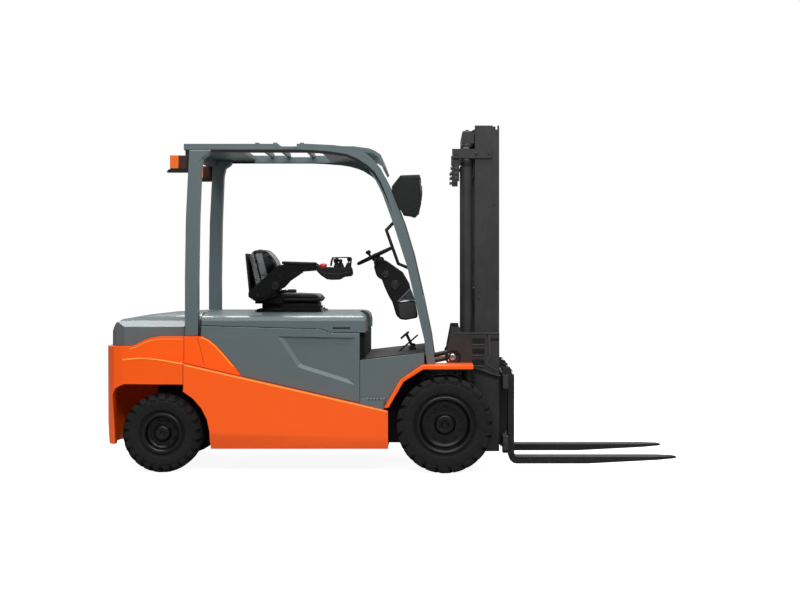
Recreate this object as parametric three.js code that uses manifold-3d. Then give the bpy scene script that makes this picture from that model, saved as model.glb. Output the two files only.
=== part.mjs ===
// Four-wheel electric counterbalance forklift, in millimetres.
// X points forward along the forks, Y to the operator's left, Z up from the floor.
import * as THREE from "three";
import { mergeVertices } from "three/addons/utils/BufferGeometryUtils.js";
import Module from "manifold-3d";

const wasm = await Module();
wasm.setup();

// ---------------------------------------------------------------- dimensions
const fitGap = 0.3; // between fixed pieces that touch
const passGap = 8; // between mast sections that slide past each other
const far = 4000; // reaches past the whole truck when cutting
const roundSides = 20; // facets around shafts and bores
const wheelSides = 32; // facets around a wheel

const wheelbase = 2045;
const rearOverhang = 436;
const railReach = 224; // front axle to the rear face of the mast's rails
const railDepth = 180;
const carriageGap = 21; // between the rails and the carriage bars
const carriageBarThick = 38;
const forkBackGap = 3; // between the carriage bars and the forks' shanks
const forkThick = 45;
const forkReach = railReach + railDepth + carriageGap + carriageBarThick + forkBackGap + forkThick;
const forkLength = 1200;
const overallLength = rearOverhang + wheelbase + forkReach + forkLength;
const frontX = overallLength / 2 - forkLength - forkReach;
const rearX = frontX - wheelbase;

const frontTyreRadius = 350;
const frontTyreWidth = 300;
const frontRimRadius = 192;
const frontTyreOuterY = 727;
const frontWheelY = frontTyreOuterY - frontTyreWidth / 2;
const rearTyreRadius = 286;
const rearTyreWidth = 215;
const rearRimRadius = 142;
const rearTyreOuterY = 684;
const rearWheelY = rearTyreOuterY - rearTyreWidth / 2;
const tyreShoulder = 30;

const axleTubeRadius = 75;
const kingpinY = 420;
const kingpinRadius = 19.5;
const knuckleRadius = 36;
const steerBeamHalf = 36;
const trunnionRadius = 40;
const wheelSweepGap = 7;

const skirtBottomZ = 172;
const skirtBevelZ = 257;
const skirtInnerY = 600;
const skirtOuterY = 700;
const wedgeOuterY = 660;
const coverOuterY = 655;
const coverThick = 25;
const skirtRearTopZ = 790;
const skirtFrontTopZ = 452;
const skirtRearX = rearX + 159;
const skirtFrontX = frontX - 411;

const weightTopZ = 985;
const weightLowTopZ = 912;
const weightSideY = 660;
const archTopZ = 641;

const hoodRearX = rearX + 282;
const hoodFrontX = frontX - 576;
const hoodTopZ = 1150;
const hoodSeamRearZ = 1065;
const hoodSeamFrontZ = 1013;
const hoodSideY = 640;
const hoodWall = 32;
const legRecessDepth = 64;
const legRecessY = 200;
const hingeX = hoodRearX + 18;
const hingeZ = 1126;
const hingeY = 330;
const hingeHalf = 26;
const hingePinRadius = 8;
const hingeLugRadius = 15;

const frameWall = 32;
const frameInnerY = 570;
const frameRearX = rearX + 405;
const frameFrontX = frontX - 600;
const panZ = 240;
const frontPlateY = 385;
const frontPlateThick = 30;

const batteryHalfWidth = 514;
const batteryTopZ = 1000;
const batteryClear = 45;

const floorRearZ = 815;
const floorFrontZ = 866;
const floorFrontX = frontX - 150;
const floorThick = 30;

const guardInnerY = 555;
const guardOuterY = 615;
const roofZ = 2382;
const roofRailDepth = 46;
const rearPillarInnerY = 545;
const rearPillarOuterY = 630;

const fenderTopZ = 781;
const fenderThick = 30;
const fenderInnerY = 436;

const mastHeight = 2535;
const mastFootZ = 123;
const railRearX = frontX + railReach;
const railOuterY = 395;
const railWidth = 70;
const railWeb = 15;
const railFlange = 18;
const innerWeb = 15;
const innerFlange = 15;
const innerWidth = 72;

const liftY = 360;
const liftBarrelRadius = 41.5;
const liftRailGap = 16.5; // between a lift barrel and the rails
const liftX = railRearX - liftRailGap - liftBarrelRadius;
const liftRodRadius = 28;
const slideGap = 0.8; // a rod in its guide, a roller on its track, a hook on its bar
const liftSeatZ = 600;
const liftBarrelTopZ = 2283;

const carriageBackX = railRearX + railDepth + carriageGap;
const carriageHalfWidth = 560;
const carriageTopZ = 700;
const carriageFootZ = 150;
const carriageBarHeight = 100;
const hookDrop = 22; // depth of the groove in which the forks' hooks run

const forkY = 400;
const forkWidth = 150;
const forkBladeThick = 50;
const forkFootZ = 42;
const forkTopZ = 694;
const forkHookTopZ = 747;
const forkFaceX = frontX + forkReach;

const tiltY = 365;
const tiltPinRadius = 16;
const tiltPinClear = 3.6; // lets the rod's eye drift about its pin as the mast tilts
const tiltEyeRadius = 34;
const tiltBarrelRadius = 35;
const tiltRodRadius = 18;
const tiltEyeWidth = 38;
const tiltBaseX = frontX - 540;
const tiltBaseZ = 700;
const tiltHeadX = frontX + 62;
const tiltHeadZ = 821;

const seatHalfWidth = 240;
const steeringRadius = 140;
const steeringGrip = 13;

// ---------------------------------------------------------------- shape tools
function solid(geometry) {
  const bare = geometry.index ? geometry.toNonIndexed() : geometry.clone();
  bare.deleteAttribute("normal");
  bare.deleteAttribute("uv");
  const merged = mergeVertices(bare, 1e-3);
  const triVerts = new Uint32Array(merged.index.array);
  const vertProperties = new Float32Array(merged.attributes.position.array);
  const made = new wasm.Manifold(new wasm.Mesh({ numProp: 3, vertProperties, triVerts }));
  if (made.volume() > 0) return made;
  for (let i = 0; i < triVerts.length; i += 3) {
    [triVerts[i + 1], triVerts[i + 2]] = [triVerts[i + 2], triVerts[i + 1]];
  }
  return new wasm.Manifold(new wasm.Mesh({ numProp: 3, vertProperties, triVerts }));
}

function join(...pieces) {
  return pieces.flat().reduce((whole, piece) => whole.add(piece));
}

function cut(body, ...tools) {
  return tools.flat().reduce((left, tool) => left.subtract(tool), body);
}

function block(x0, x1, y0, y1, z0, z1) {
  const box = new THREE.BoxGeometry(x1 - x0, y1 - y0, z1 - z0);
  return solid(box.translate((x0 + x1) / 2, (y0 + y1) / 2, (z0 + z1) / 2));
}

function extruded(points, from, to, across, up, along) {
  const shape = new THREE.Shape(points.map(([a, b]) => new THREE.Vector2(a, b)));
  const geometry = new THREE.ExtrudeGeometry(shape, { depth: to - from, bevelEnabled: false });
  geometry.translate(0, 0, from);
  geometry.applyMatrix4(new THREE.Matrix4().makeBasis(across, up, along));
  return solid(geometry);
}

const unitX = new THREE.Vector3(1, 0, 0);
const unitY = new THREE.Vector3(0, 1, 0);
const unitZ = new THREE.Vector3(0, 0, 1);

// An outline in X and Z, carried across Y.
function slab(points, y0, y1) {
  return extruded(points, y0, y1, unitX, unitZ, unitY);
}

// An outline in X and Y, carried up Z.
function prism(points, z0, z1) {
  return extruded(points, z0, z1, unitX, unitY, unitZ);
}

// An outline in Y and Z, carried along X.
function beam(points, x0, x1) {
  return extruded(points, x0, x1, unitY, unitZ, unitX);
}

function rod(from, to, radius, sides = roundSides) {
  const start = new THREE.Vector3(...from);
  const end = new THREE.Vector3(...to);
  const span = end.clone().sub(start);
  const geometry = new THREE.CylinderGeometry(radius, radius, span.length(), sides);
  const turn = new THREE.Quaternion().setFromUnitVectors(unitY, span.clone().normalize());
  geometry.applyQuaternion(turn);
  const middle = start.add(end).multiplyScalar(0.5);
  return solid(geometry.translate(middle.x, middle.y, middle.z));
}

function ball([x, y, z], radius, sides = 8) {
  return solid(new THREE.SphereGeometry(radius, sides, sides / 2).translate(x, y, z));
}

// A round bar through the given points, with round elbows.
function bentBar(points, radius, sides = 8) {
  const runs = points.slice(1).map((point, i) => rod(points[i], point, radius, sides));
  const elbows = points.slice(1, -1).map((point) => ball(point, radius * 1.02));
  return join(runs, elbows);
}

// A profile of [radius, distance along Y], turned about an axis parallel to Y.
function turned(profile, x, y, z, sides) {
  const points = profile.map(([r, along]) => new THREE.Vector2(r, along));
  return solid(new THREE.LatheGeometry(points, sides).translate(x, y, z));
}

function mirrored(body) {
  return solid(geometryOf(body).scale(1, -1, 1));
}

function geometryOf(body) {
  const mesh = body.getMesh();
  const positions = new Float32Array(mesh.numVert * 3);
  for (let i = 0; i < mesh.numVert; i++) {
    const at = i * mesh.numProp;
    positions.set(mesh.vertProperties.subarray(at, at + 3), i * 3);
  }
  const geometry = new THREE.BufferGeometry();
  geometry.setAttribute("position", new THREE.BufferAttribute(positions, 3));
  geometry.setIndex(new THREE.BufferAttribute(new Uint32Array(mesh.triVerts), 1));
  return geometry;
}

// ---------------------------------------------------------------- materials
function paint(color, roughness, metalness) {
  return { color, roughness, metalness };
}
const orange = paint(0xff6216, 0.35, 0.0);
const greyGreen = paint(0x606c6e, 0.4, 0.1);
const mastBlack = paint(0x363636, 0.5, 0.3);
const frameBlack = paint(0x161616, 0.7, 0.1);
const tyreBlack = paint(0x1c1c1c, 0.85, 0.0);
const rimBlack = paint(0x202020, 0.5, 0.3);
const plasticBlack = paint(0x18191a, 0.6, 0.0);
const seatBlack = paint(0x1b1b1c, 0.8, 0.0);
const castIron = paint(0x2a2a2a, 0.6, 0.4);
const chrome = paint(0xc8c8c8, 0.15, 1.0);
const batteryGrey = paint(0x3b4a52, 0.6, 0.1);

const group = new THREE.Group();

function add(name, body, finish) {
  const flat = geometryOf(body).toNonIndexed();
  flat.computeVertexNormals();
  const mesh = new THREE.Mesh(flat, new THREE.MeshStandardMaterial(finish));
  mesh.name = name;
  group.add(mesh);
}

// The body is modelled on the left, and its right-hand twin is its mirror image.
function addPair(name, body, finish) {
  add(name + "_left", body, finish);
  add(name + "_right", mirrored(body), finish);
}

// ---------------------------------------------------------------- shared lines
function between(x, xa, za, xb, zb) {
  return za + ((x - xa) * (zb - za)) / (xb - xa);
}

function skirtTopAt(x) {
  return between(x, skirtRearX, skirtRearTopZ, skirtFrontX, skirtFrontTopZ);
}

function floorTopAt(x) {
  return between(x, frameFrontX, floorRearZ, floorFrontX, floorFrontZ);
}

// Upper edge of the orange wedge that runs down from the rear pillar's foot to the skirt.
const wedgeEdge = [
  [rearX + 290, weightTopZ],
  [rearX + 340, 962],
  [rearX + 395, 916],
  [rearX + 452, 853],
  [rearX + 520, 775],
  [rearX + 574, skirtTopAt(rearX + 574)],
];

// Front edge of the rear wheel arch, from the skirt's foot up to the seam.
const archFrontEdge = [
  [rearX + 352, skirtBottomZ],
  [rearX + 348, 300],
  [rearX + 331, 386],
  [rearX + 290, 468],
  [rearX + 229, 539],
  [rearX + 154, 592],
];

// Front and rear edges of the guard's front pillar, from the foot up into the roof's rail.
const pillarFrontEdge = [
  [frontX - 69, fenderTopZ + fitGap],
  [frontX - 94, 957],
  [frontX - 150, 1230],
  [frontX - 232, 1587],
  [frontX - 303, 1822],
  [frontX - 354, 1954],
  [frontX - 385, 2035],
  [frontX - 426, 2125],
  [frontX - 466, 2204],
  [frontX - 527, 2275],
  [frontX - 588, 2325],
  [frontX - 670, 2356],
  [frontX - 816, 2373],
  [frontX - 1000, roofZ],
];
const pillarRearEdge = [
  [frontX - 130, fenderTopZ + fitGap],
  [frontX - 150, 957],
  [frontX - 191, 1129],
  [frontX - 273, 1485],
  [frontX - 375, 1801],
  [frontX - 457, 2025],
  [frontX - 505, 2120],
  [frontX - 560, 2200],
  [frontX - 640, 2262],
  [frontX - 760, 2296],
  [frontX - 900, 2318],
  [frontX - 1076, roofZ - roofRailDepth],
];

// ---------------------------------------------------------------- wheels
function tyreProfile(radius, width, bore) {
  const half = width / 2;
  const bead = 22;
  const side = [
    [bore, half - bead],
    [bore + 20, half],
    [radius - tyreShoulder - 8, half],
    [radius - 10, half - tyreShoulder + 12],
    [radius, half - tyreShoulder - 6],
  ];
  const mirroredSide = side.map(([r, along]) => [r, -along]).reverse();
  return [...side, ...mirroredSide, side[0]];
}

// The outer face shows a lip, a sloping dish, a bolt ring and a hub cap.
function rimProfile(radius, width, face) {
  const half = width / 2;
  return [
    [0, face - 62],
    [radius - 26, face - 56],
    [radius - 20, -half + 16],
    [radius, -half + 16],
    [radius, half - 16],
    [radius - 18, half - 16],
    [radius - 30, face + 6],
    [radius * 0.44, face - 8],
    [radius * 0.26, face + 30],
    [0, face + 30],
  ];
}

const frontRimFace = 62; // disc ahead of the wheel's centre plane
const rearRimFace = 40;

function frontWheels() {
  const profile = tyreProfile(frontTyreRadius, frontTyreWidth, frontRimRadius + fitGap);
  addPair("front_tyre", turned(profile, frontX, frontWheelY, frontTyreRadius, wheelSides), tyreBlack);
  const rim = rimProfile(frontRimRadius, frontTyreWidth, frontRimFace);
  addPair("front_rim", turned(rim, frontX, frontWheelY, frontTyreRadius, wheelSides), rimBlack);
}

function rearWheels() {
  const profile = tyreProfile(rearTyreRadius, rearTyreWidth, rearRimRadius + fitGap);
  addPair("rear_tyre", turned(profile, rearX, rearWheelY, rearTyreRadius, wheelSides), tyreBlack);
  const rim = rimProfile(rearRimRadius, rearTyreWidth, rearRimFace);
  addPair("rear_rim", turned(rim, rearX, rearWheelY, rearTyreRadius, wheelSides), rimBlack);
}

// ---------------------------------------------------------------- axles
function driveAxle() {
  const end = frontWheelY + frontRimFace - 62 - fitGap;
  const z = frontTyreRadius;
  const flangeStart = frontPlateY + frontPlateThick + 25;
  const left = join(
    rod([frontX, 0, z], [frontX, end, z], axleTubeRadius),
    rod([frontX, flangeStart, z], [frontX, end - 40, z], 110),
  );
  const housing = join(
    rod([frontX, -190, z], [frontX, 190, z], 150),
    rod([frontX - 260, 60, z], [frontX, 60, z], 105),
  );
  add("drive_axle", join(left, mirrored(left), housing), castIron);
}

const knuckleHalf = 57;

function steerAxle() {
  const z = rearTyreRadius;
  const earInner = knuckleHalf + 2;
  const earOuter = earInner + 27;
  const beamEnd = kingpinY - knuckleRadius - 12;
  const ear = (from, to) =>
    join(
      rod([rearX, kingpinY, from], [rearX, kingpinY, to], knuckleRadius),
      block(rearX - steerBeamHalf, rearX + steerBeamHalf, beamEnd - 40, kingpinY, from, to),
    );
  const left = join(
    block(rearX - steerBeamHalf, rearX + steerBeamHalf, 0, beamEnd, z - earOuter, z + earOuter),
    ear(z + earInner, z + earOuter),
    ear(z - earOuter, z - earInner),
    rod([rearX, kingpinY, z - earOuter], [rearX, kingpinY, z + earOuter], kingpinRadius),
  );
  const trunnion = rod([rearX - 105, 0, z], [rearX + 105, 0, z], trunnionRadius);
  add("steer_axle", join(left, mirrored(left), trunnion), castIron);
}

function knuckles() {
  const z = rearTyreRadius;
  const spindleEnd = rearWheelY + rearRimFace - 62 - fitGap;
  const hub = join(
    rod([rearX, kingpinY, z - knuckleHalf], [rearX, kingpinY, z + knuckleHalf], knuckleRadius),
    rod([rearX, kingpinY, z], [rearX, spindleEnd, z], 30),
    rod([rearX, spindleEnd - 30, z], [rearX, spindleEnd, z], 55),
  );
  const bore = rod(
    [rearX, kingpinY, z - far / 8],
    [rearX, kingpinY, z + far / 8],
    kingpinRadius + 2 * fitGap,
  );
  addPair("steer_knuckle", cut(hub, bore), castIron);
}

// ---------------------------------------------------------------- frame and body
function mainFrame() {
  const outerY = skirtInnerY - fitGap;
  const sideTop = skirtFrontTopZ - 12;
  const tray = join(
    block(frameRearX, frameFrontX, -outerY, outerY, skirtBottomZ + 12, panZ - fitGap),
    block(frameRearX, frameRearX + frameWall, -outerY, outerY, skirtBottomZ + 12, batteryTopZ + 5),
    block(frameFrontX - frameWall, frameFrontX, -outerY, outerY, skirtBottomZ + 12, batteryTopZ + 5),
  );
  const sideWall = block(frameRearX, skirtFrontX, frameInnerY, outerY, skirtBottomZ + 12, sideTop);
  const plateOutline = [
    [frameFrontX - 10, skirtBottomZ + 18],
    [frontX + 80, skirtBottomZ + 18],
    [frontX + 100, 230],
    [frontX + 100, 380],
    [frontX + 35, 660],
    [tiltBaseX + 50, 660],
    [tiltBaseX + 35, tiltBaseZ + 45],
    [frameFrontX - 10, tiltBaseZ + 45],
  ];
  const plateOuterY = frontPlateY + frontPlateThick;
  const plate = slab(plateOutline, frontPlateY, plateOuterY);
  const axleHole = rod(
    [frontX, 0, frontTyreRadius],
    [frontX, far / 4, frontTyreRadius],
    axleTubeRadius + fitGap,
  );
  const tiltPin = rod(
    [tiltBaseX, tiltY - tiltEyeWidth / 2 - 4, tiltBaseZ],
    [tiltBaseX, plateOuterY - 4, tiltBaseZ],
    tiltPinRadius,
  );
  // A cross wall ties each front plate out to the side wall, ahead of the tray.
  const outrigger = block(
    skirtFrontX - frameWall,
    skirtFrontX,
    frontPlateY + 5,
    outerY,
    skirtBottomZ + 12,
    sideTop,
  );
  // Pads on the tray's front wall carry the closed hood.
  const pad = block(
    frameFrontX - 8,
    frameFrontX + fitGap,
    470,
    540,
    batteryTopZ - 10,
    hoodSeamFrontZ - fitGap,
  );
  const left = join(sideWall, cut(plate, axleHole), tiltPin, outrigger, pad);

  // The spine reaches back over the steer axle and holds its two trunnion plates.
  const spineTop = archTopZ - fitGap;
  const spineDepth = 130;
  const spineBack = rearX - 120;
  const spine = block(spineBack, frameRearX + 5, -130, 130, spineTop - spineDepth, spineTop);
  const hanger = (x) => block(x, x + 28, -110, 110, rearTyreRadius - 70, spineTop - 60);
  const trunnionHole = rod(
    [rearX - 200, 0, rearTyreRadius],
    [rearX + 200, 0, rearTyreRadius],
    trunnionRadius + fitGap,
  );
  const rear = join(spine, cut(join(hanger(rearX - 90), hanger(rearX + 62)), trunnionHole));
  add("main_frame", join(tray, left, mirrored(left), rear), frameBlack);
}

function skirts() {
  const lower = [
    ...archFrontEdge.map(([x, z]) => [x, z]),
    [skirtRearX, skirtRearTopZ - 190],
    [skirtRearX, skirtRearTopZ],
    [skirtFrontX, skirtFrontTopZ],
    [skirtFrontX, skirtBottomZ],
  ];
  const wedge = [
    [skirtRearX, skirtRearTopZ - 5],
    [skirtRearX, weightTopZ],
    ...wedgeEdge,
    [rearX + 574, skirtTopAt(rearX + 574) - 5],
  ];
  // The foot leans in below its crease, and the crest leans in from the flare.
  const leanIn = 40;
  const footCut = beam(
    [
      [skirtOuterY - leanIn, skirtBottomZ - 1],
      [skirtOuterY + 10, skirtBottomZ - 1],
      [skirtOuterY + 10, skirtBevelZ],
      [skirtOuterY, skirtBevelZ],
    ],
    -far,
    far,
  );
  const body = cut(slab(lower, skirtInnerY, skirtOuterY), footCut);
  addPair("side_skirt", join(body, slab(wedge, skirtInnerY, wedgeOuterY)), orange);
}

function counterweight() {
  const rear = rearX - rearOverhang;
  const front = skirtRearX - 2;
  const side = [
    [rear + 46, 205],
    [rear + 14, 345],
    [rear, 650],
    [rear, 890],
    [rear + 12, weightLowTopZ],
    [rearX - 235, weightLowTopZ + 2],
    [rearX - 180, 930],
    [rearX - 130, 958],
    [rearX - 83, 975],
    [rearX - 20, weightTopZ],
    [frameRearX - fitGap, weightTopZ],
    [frameRearX - fitGap, 205],
  ];
  const plan = [
    [rear, -380],
    [rear + 12, -500],
    [rear + 42, -600],
    [rear + 85, -645],
    [rear + 150, -weightSideY],
    [front, -weightSideY],
    [front, -skirtInnerY + fitGap],
    [frameRearX, -skirtInnerY + fitGap],
  ];
  const planMirror = plan.map(([x, y]) => [x, -y]).reverse();
  const whole = slab(side, -weightSideY, weightSideY).intersect(
    prism([...plan, ...planMirror], 0, far),
  );
  // Below its crease the flank swells out to meet the skirt.
  const creaseRear = rearX - 290;
  const crease = [
    [front, skirtRearTopZ],
    [rearX - 113, skirtRearTopZ + 45],
    [creaseRear, skirtRearTopZ + 28],
  ];
  const swellPlan = [
    [creaseRear, weightSideY - 1],
    [front, weightSideY - 1],
    [front, skirtOuterY],
    [rearX - 113, weightSideY + 16],
    [creaseRear, weightSideY],
  ];
  const swell = slab([...crease, [creaseRear, 560], [front, 560]], weightSideY - 5, skirtOuterY).intersect(
    prism(swellPlan, 0, far),
  );
  const sweep = Math.hypot(rearTyreRadius, rearTyreOuterY - tyreShoulder - 6 - kingpinY) + wheelSweepGap;
  const sweepCut = rod([rearX, kingpinY, -100], [rearX, kingpinY, archTopZ], sweep, 48);
  // The opening in the outer skin, with rounded upper corners.
  const opening = [
    [rear + 100, 0],
    [rear + 88, 345],
    [rear + 72, 560],
    [rear + 92, 606],
    [rear + 130, 630],
    [rear + 180, archTopZ],
    [rearX - 20, archTopZ],
    [rearX + 80, 620],
    [rearX + 154, 592],
    [rearX + 420, 592],
    [rearX + 420, 0],
  ];
  const arch = slab(opening, 330, far / 4);
  const bay = block(rearX - 135, far, -kingpinY, kingpinY, -100, archTopZ);
  const tools = [sweepCut, mirrored(sweepCut), arch, mirrored(arch), bay];
  add("counterweight", cut(join(whole, swell, mirrored(swell)), tools), orange);
}

function rearCowl() {
  const rear = rearX - rearOverhang + 20;
  const front = skirtRearX - 6;
  const outline = [
    [rear, weightLowTopZ + fitGap + 2],
    [rear + 12, 994],
    [rear + 38, 1050],
    [rear + 66, 1082],
    [rear + 112, 1108],
    [rearX - 82, 1134],
    [front, 1148],
    [hoodRearX - 20, 1150],
    [hoodRearX - 20, weightTopZ + fitGap],
    [rearX - 20, weightTopZ + fitGap],
    [rearX - 83, 975 + fitGap],
    [rearX - 130, 958 + fitGap],
    [rearX - 180, 930 + fitGap],
    [rearX - 235, weightLowTopZ + 2 + fitGap],
  ];
  const halfSection = [
    [598, 0],
    [598, 1052],
    [560, 1096],
    [500, 1125],
    [400, 1160],
  ];
  const section = [...halfSection, ...halfSection.map(([y, z]) => [-y, z]).reverse()];
  const plan = [
    [rear, -340],
    [rear + 22, -480],
    [rear + 62, -560],
    [rear + 130, -598],
    [front, -598],
    [front, -rearPillarInnerY + fitGap],
    [hoodRearX - 20, -rearPillarInnerY + fitGap],
  ];
  const planMirror = plan.map(([x, y]) => [x, -y]).reverse();
  const body = slab(outline, -600, 600)
    .intersect(beam(section, -far, far))
    .intersect(prism([...plan, ...planMirror], 0, far));
  const cowlFace = hoodRearX - 20;
  const lug = cut(
    join(
      rod([hingeX, hingeY - hingeHalf, hingeZ], [hingeX, hingeY + hingeHalf, hingeZ], hingeLugRadius),
      slab(
        [
          [cowlFace - 1, hingeZ - 40],
          [hingeX, hingeZ - hingeLugRadius * 0.9],
          [hingeX - 6, hingeZ - 2],
          [cowlFace - 1, hingeZ - 22],
        ],
        hingeY - hingeHalf,
        hingeY + hingeHalf,
      ),
    ),
    rod([hingeX, 0, hingeZ], [hingeX, far, hingeZ], hingePinRadius + 2 * fitGap),
  );
  add("rear_cowl", join(body, lug, mirrored(lug)), greyGreen);
}

function battery() {
  const x0 = frameRearX + frameWall + batteryClear;
  const x1 = frameFrontX - frameWall - batteryClear;
  add("battery", block(x0, x1, -batteryHalfWidth, batteryHalfWidth, panZ, batteryTopZ), batteryGrey);
}

function sideCovers() {
  const rear = hoodRearX;
  const front = frameFrontX - 16;
  const step = frontX - 837;
  const outline = [
    [rear, hoodSeamRearZ - 5],
    [step - 56, hoodSeamRearZ - 30],
    [step, hoodSeamFrontZ - 2],
    [front, hoodSeamFrontZ - 5],
    [front, skirtTopAt(front) + fitGap],
    [rearX + 575, skirtTopAt(rearX + 575) + fitGap],
    ...wedgeEdge
      .slice(0, -1)
      .reverse()
      .map(([x, z]) => [x + 1.5, z + 1.5]),
    [rear, weightTopZ + 1.5],
  ];
  addPair("side_cover", slab(outline, coverOuterY - coverThick, coverOuterY), greyGreen);
}

function cabFloor() {
  const rear = frameFrontX + fitGap;
  const floorY = coverOuterY - coverThick + 2;
  const plate = slab(
    [
      [rear, floorTopAt(rear) - floorThick],
      [floorFrontX, floorFrontZ - floorThick],
      [floorFrontX, floorFrontZ],
      [rear, floorTopAt(rear)],
    ],
    -floorY,
    floorY,
  );
  const panelRear = frameFrontX - 15;
  const fenderFoot = frontX - 441;
  const panel = slab(
    [
      [panelRear, skirtTopAt(panelRear) + fitGap],
      [fenderFoot, skirtTopAt(fenderFoot) + fitGap],
      ...fenderTopLine.map(([x, z]) => [x - fitGap, z + fitGap]),
      [floorFrontX, fenderTopZ + fitGap],
      [floorFrontX, floorFrontZ],
      [panelRear, floorTopAt(panelRear)],
    ],
    coverOuterY - coverThick,
    coverOuterY,
  );
  const treadZ = 535;
  const treadFront = frontX - 424;
  const tread = slab(
    [
      [panelRear, skirtTopAt(panelRear) + fitGap],
      [treadFront - 20, skirtTopAt(treadFront - 20) + fitGap],
      [treadFront - 20, treadZ - 25],
      [treadFront - 10, treadZ],
      [panelRear, treadZ],
    ],
    coverOuterY - 10,
    skirtOuterY - 12,
  );
  const clearOfFender = cut(tread, slab(fenderBelow(), 0, far));
  const left = join(panel, clearOfFender);
  add("cab_floor", join(plate, left, mirrored(left)), greyGreen);
}

// Top line of the fender's sloping rear part, from its foot up to its flat top.
const fenderTopLine = [
  [frontX - 438, 474],
  [frontX - 322, 675],
  [frontX - 165, fenderTopZ],
];

// Everything on the tyre's side of the fender's top line.
function fenderBelow() {
  return [
    [fenderTopLine[0][0] - fitGap, 0],
    ...fenderTopLine.map(([x, z]) => [x - fitGap, z + fitGap]),
    [frontX + 300, fenderTopZ + fitGap],
    [frontX + 300, 0],
  ];
}

function fenders() {
  const front = frontX + 204;
  const top = [...fenderTopLine, [front, fenderTopZ]];
  const under = [
    [front, fenderTopZ - fenderThick],
    [frontX - 156, fenderTopZ - fenderThick],
    [frontX - 300, 660],
    [frontX - 408, 474],
  ];
  addPair("fender", slab([...top, ...under], fenderInnerY, frontTyreOuterY), orange);
}

function frontCowl() {
  const outline = [
    [floorFrontX + fitGap, floorFrontZ - 24],
    [frontX - 86, floorFrontZ - 24],
    [frontX - 84, 880],
    [frontX - 97, 957],
    [frontX - 153, 1230],
    [frontX - 160, 1260],
    [frontX - 200, 1260],
    [frontX - 186, 1129],
    [frontX - 146, 957],
  ];
  const y = guardInnerY - fitGap;
  add("front_cowl", slab(outline, -y, y), greyGreen);
}

// ---------------------------------------------------------------- overhead guard
const notchRearX = frontX - 1229;
const notchFrontX = frontX - 1076;

function guardSides() {
  const rear = rearX + 149;
  const outline = [
    ...pillarFrontEdge,
    [rear, roofZ],
    [rear, roofZ - roofRailDepth],
    ...[...pillarRearEdge].reverse(),
  ];
  const notch = block(notchRearX, notchFrontX, guardInnerY - 1, guardOuterY + 1, roofZ - 36, far);
  const rail = cut(slab(outline, guardInnerY, guardOuterY), notch);
  const y = (guardInnerY + guardOuterY) / 2;
  // The grab handle is on the right side only.
  const grab = bentBar(
    [
      [frontX - 345, y, 1840],
      [frontX - 426, y, 1756],
      [frontX - 339, y, 1511],
      [frontX - 265, y, 1480],
    ],
    12,
  );
  add("guard_side_left", rail, greyGreen);
  add("guard_side_right", mirrored(join(rail, grab)), greyGreen);
}

function rearPillars() {
  const top = roofZ - roofRailDepth - fitGap;
  const foot = weightTopZ + fitGap;
  const outline = [
    [rearX + 159, foot],
    [rearX + 159, 1400],
    [rearX + 166, 1843],
    [rearX + 182, 2177],
    [rearX + 190, top],
    [rearX + 350, top],
    [rearX + 330, top - 34],
    [rearX + 290, top - 60],
    [rearX + 276, top - 130],
    [rearX + 262, 1843],
    [rearX + 255, 1400],
    [rearX + 255, foot],
  ];
  addPair("rear_pillar", slab(outline, rearPillarInnerY, rearPillarOuterY), greyGreen);
}

function roof() {
  const y = guardInnerY - fitGap;
  const rear = rearX + 149;
  const plateFront = rear + 386;
  const plateTop = roofZ - 8;
  const plate = block(rear, plateFront, -y, y, plateTop - 30, plateTop);
  const beamY = rearPillarInnerY - fitGap;
  const rearBeam = block(rear, rear + 70, -beamY, beamY, roofZ - 90, plateTop - 20);
  const edgeRail = block(plateFront - 10, frontX - 860, y - 25, y, roofZ - 60, roofZ - 14);
  const slatBottomZ = roofZ - 17;
  const slat = (x) => block(x - 13, x + 13, -y + 1, y - 1, slatBottomZ, slatBottomZ + 31);
  const slats = [frontX - 1372, frontX - 1240, frontX - 1045].map(slat);
  const header = slab(
    [
      [frontX - 900, roofZ - 25],
      [frontX - 780, roofZ - 12],
      [frontX - 665, roofZ - 13],
      [frontX - 556, roofZ - 27],
      [frontX - 510, roofZ - 45],
      [frontX - 469, roofZ - 73],
      [frontX - 437, roofZ - 164],
      [frontX - 451, roofZ - 178],
      [frontX - 490, roofZ - 92],
      [frontX - 530, roofZ - 66],
      [frontX - 600, roofZ - 52],
      [frontX - 760, roofZ - 50],
      [frontX - 900, roofZ - 60],
    ],
    -y,
    y,
  );
  const whole = join(plate, rearBeam, edgeRail, mirrored(edgeRail), slats, header);
  add("roof", whole, greyGreen);
}

function headlights() {
  const outline = [
    [frontX - 386, 2072],
    [frontX - 325, 2150],
    [frontX - 186, 2155],
    [frontX - 181, 2001],
    [frontX - 201, 1914],
    [frontX - 232, 1882],
    [frontX - 274, 1894],
    [frontX - 322, 1899],
    [frontX - 353.5, 1954],
    [frontX - 384.5, 2035],
  ];
  addPair("headlight", slab(outline, guardInnerY - 55, guardOuterY + 10), plasticBlack);
}

function rearLights() {
  const outline = [
    [rearX + 30, 2180],
    [rearX + 182 - fitGap, 2180],
    [rearX + 185 - fitGap, 2240],
    [rearX + 183, 2298],
    [rearX + 50, 2298],
    [rearX + 50, 2200],
    [rearX + 30, 2192],
  ];
  addPair("rear_light", slab(outline, rearPillarInnerY + 15, rearPillarOuterY - 15), plasticBlack);
}

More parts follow.
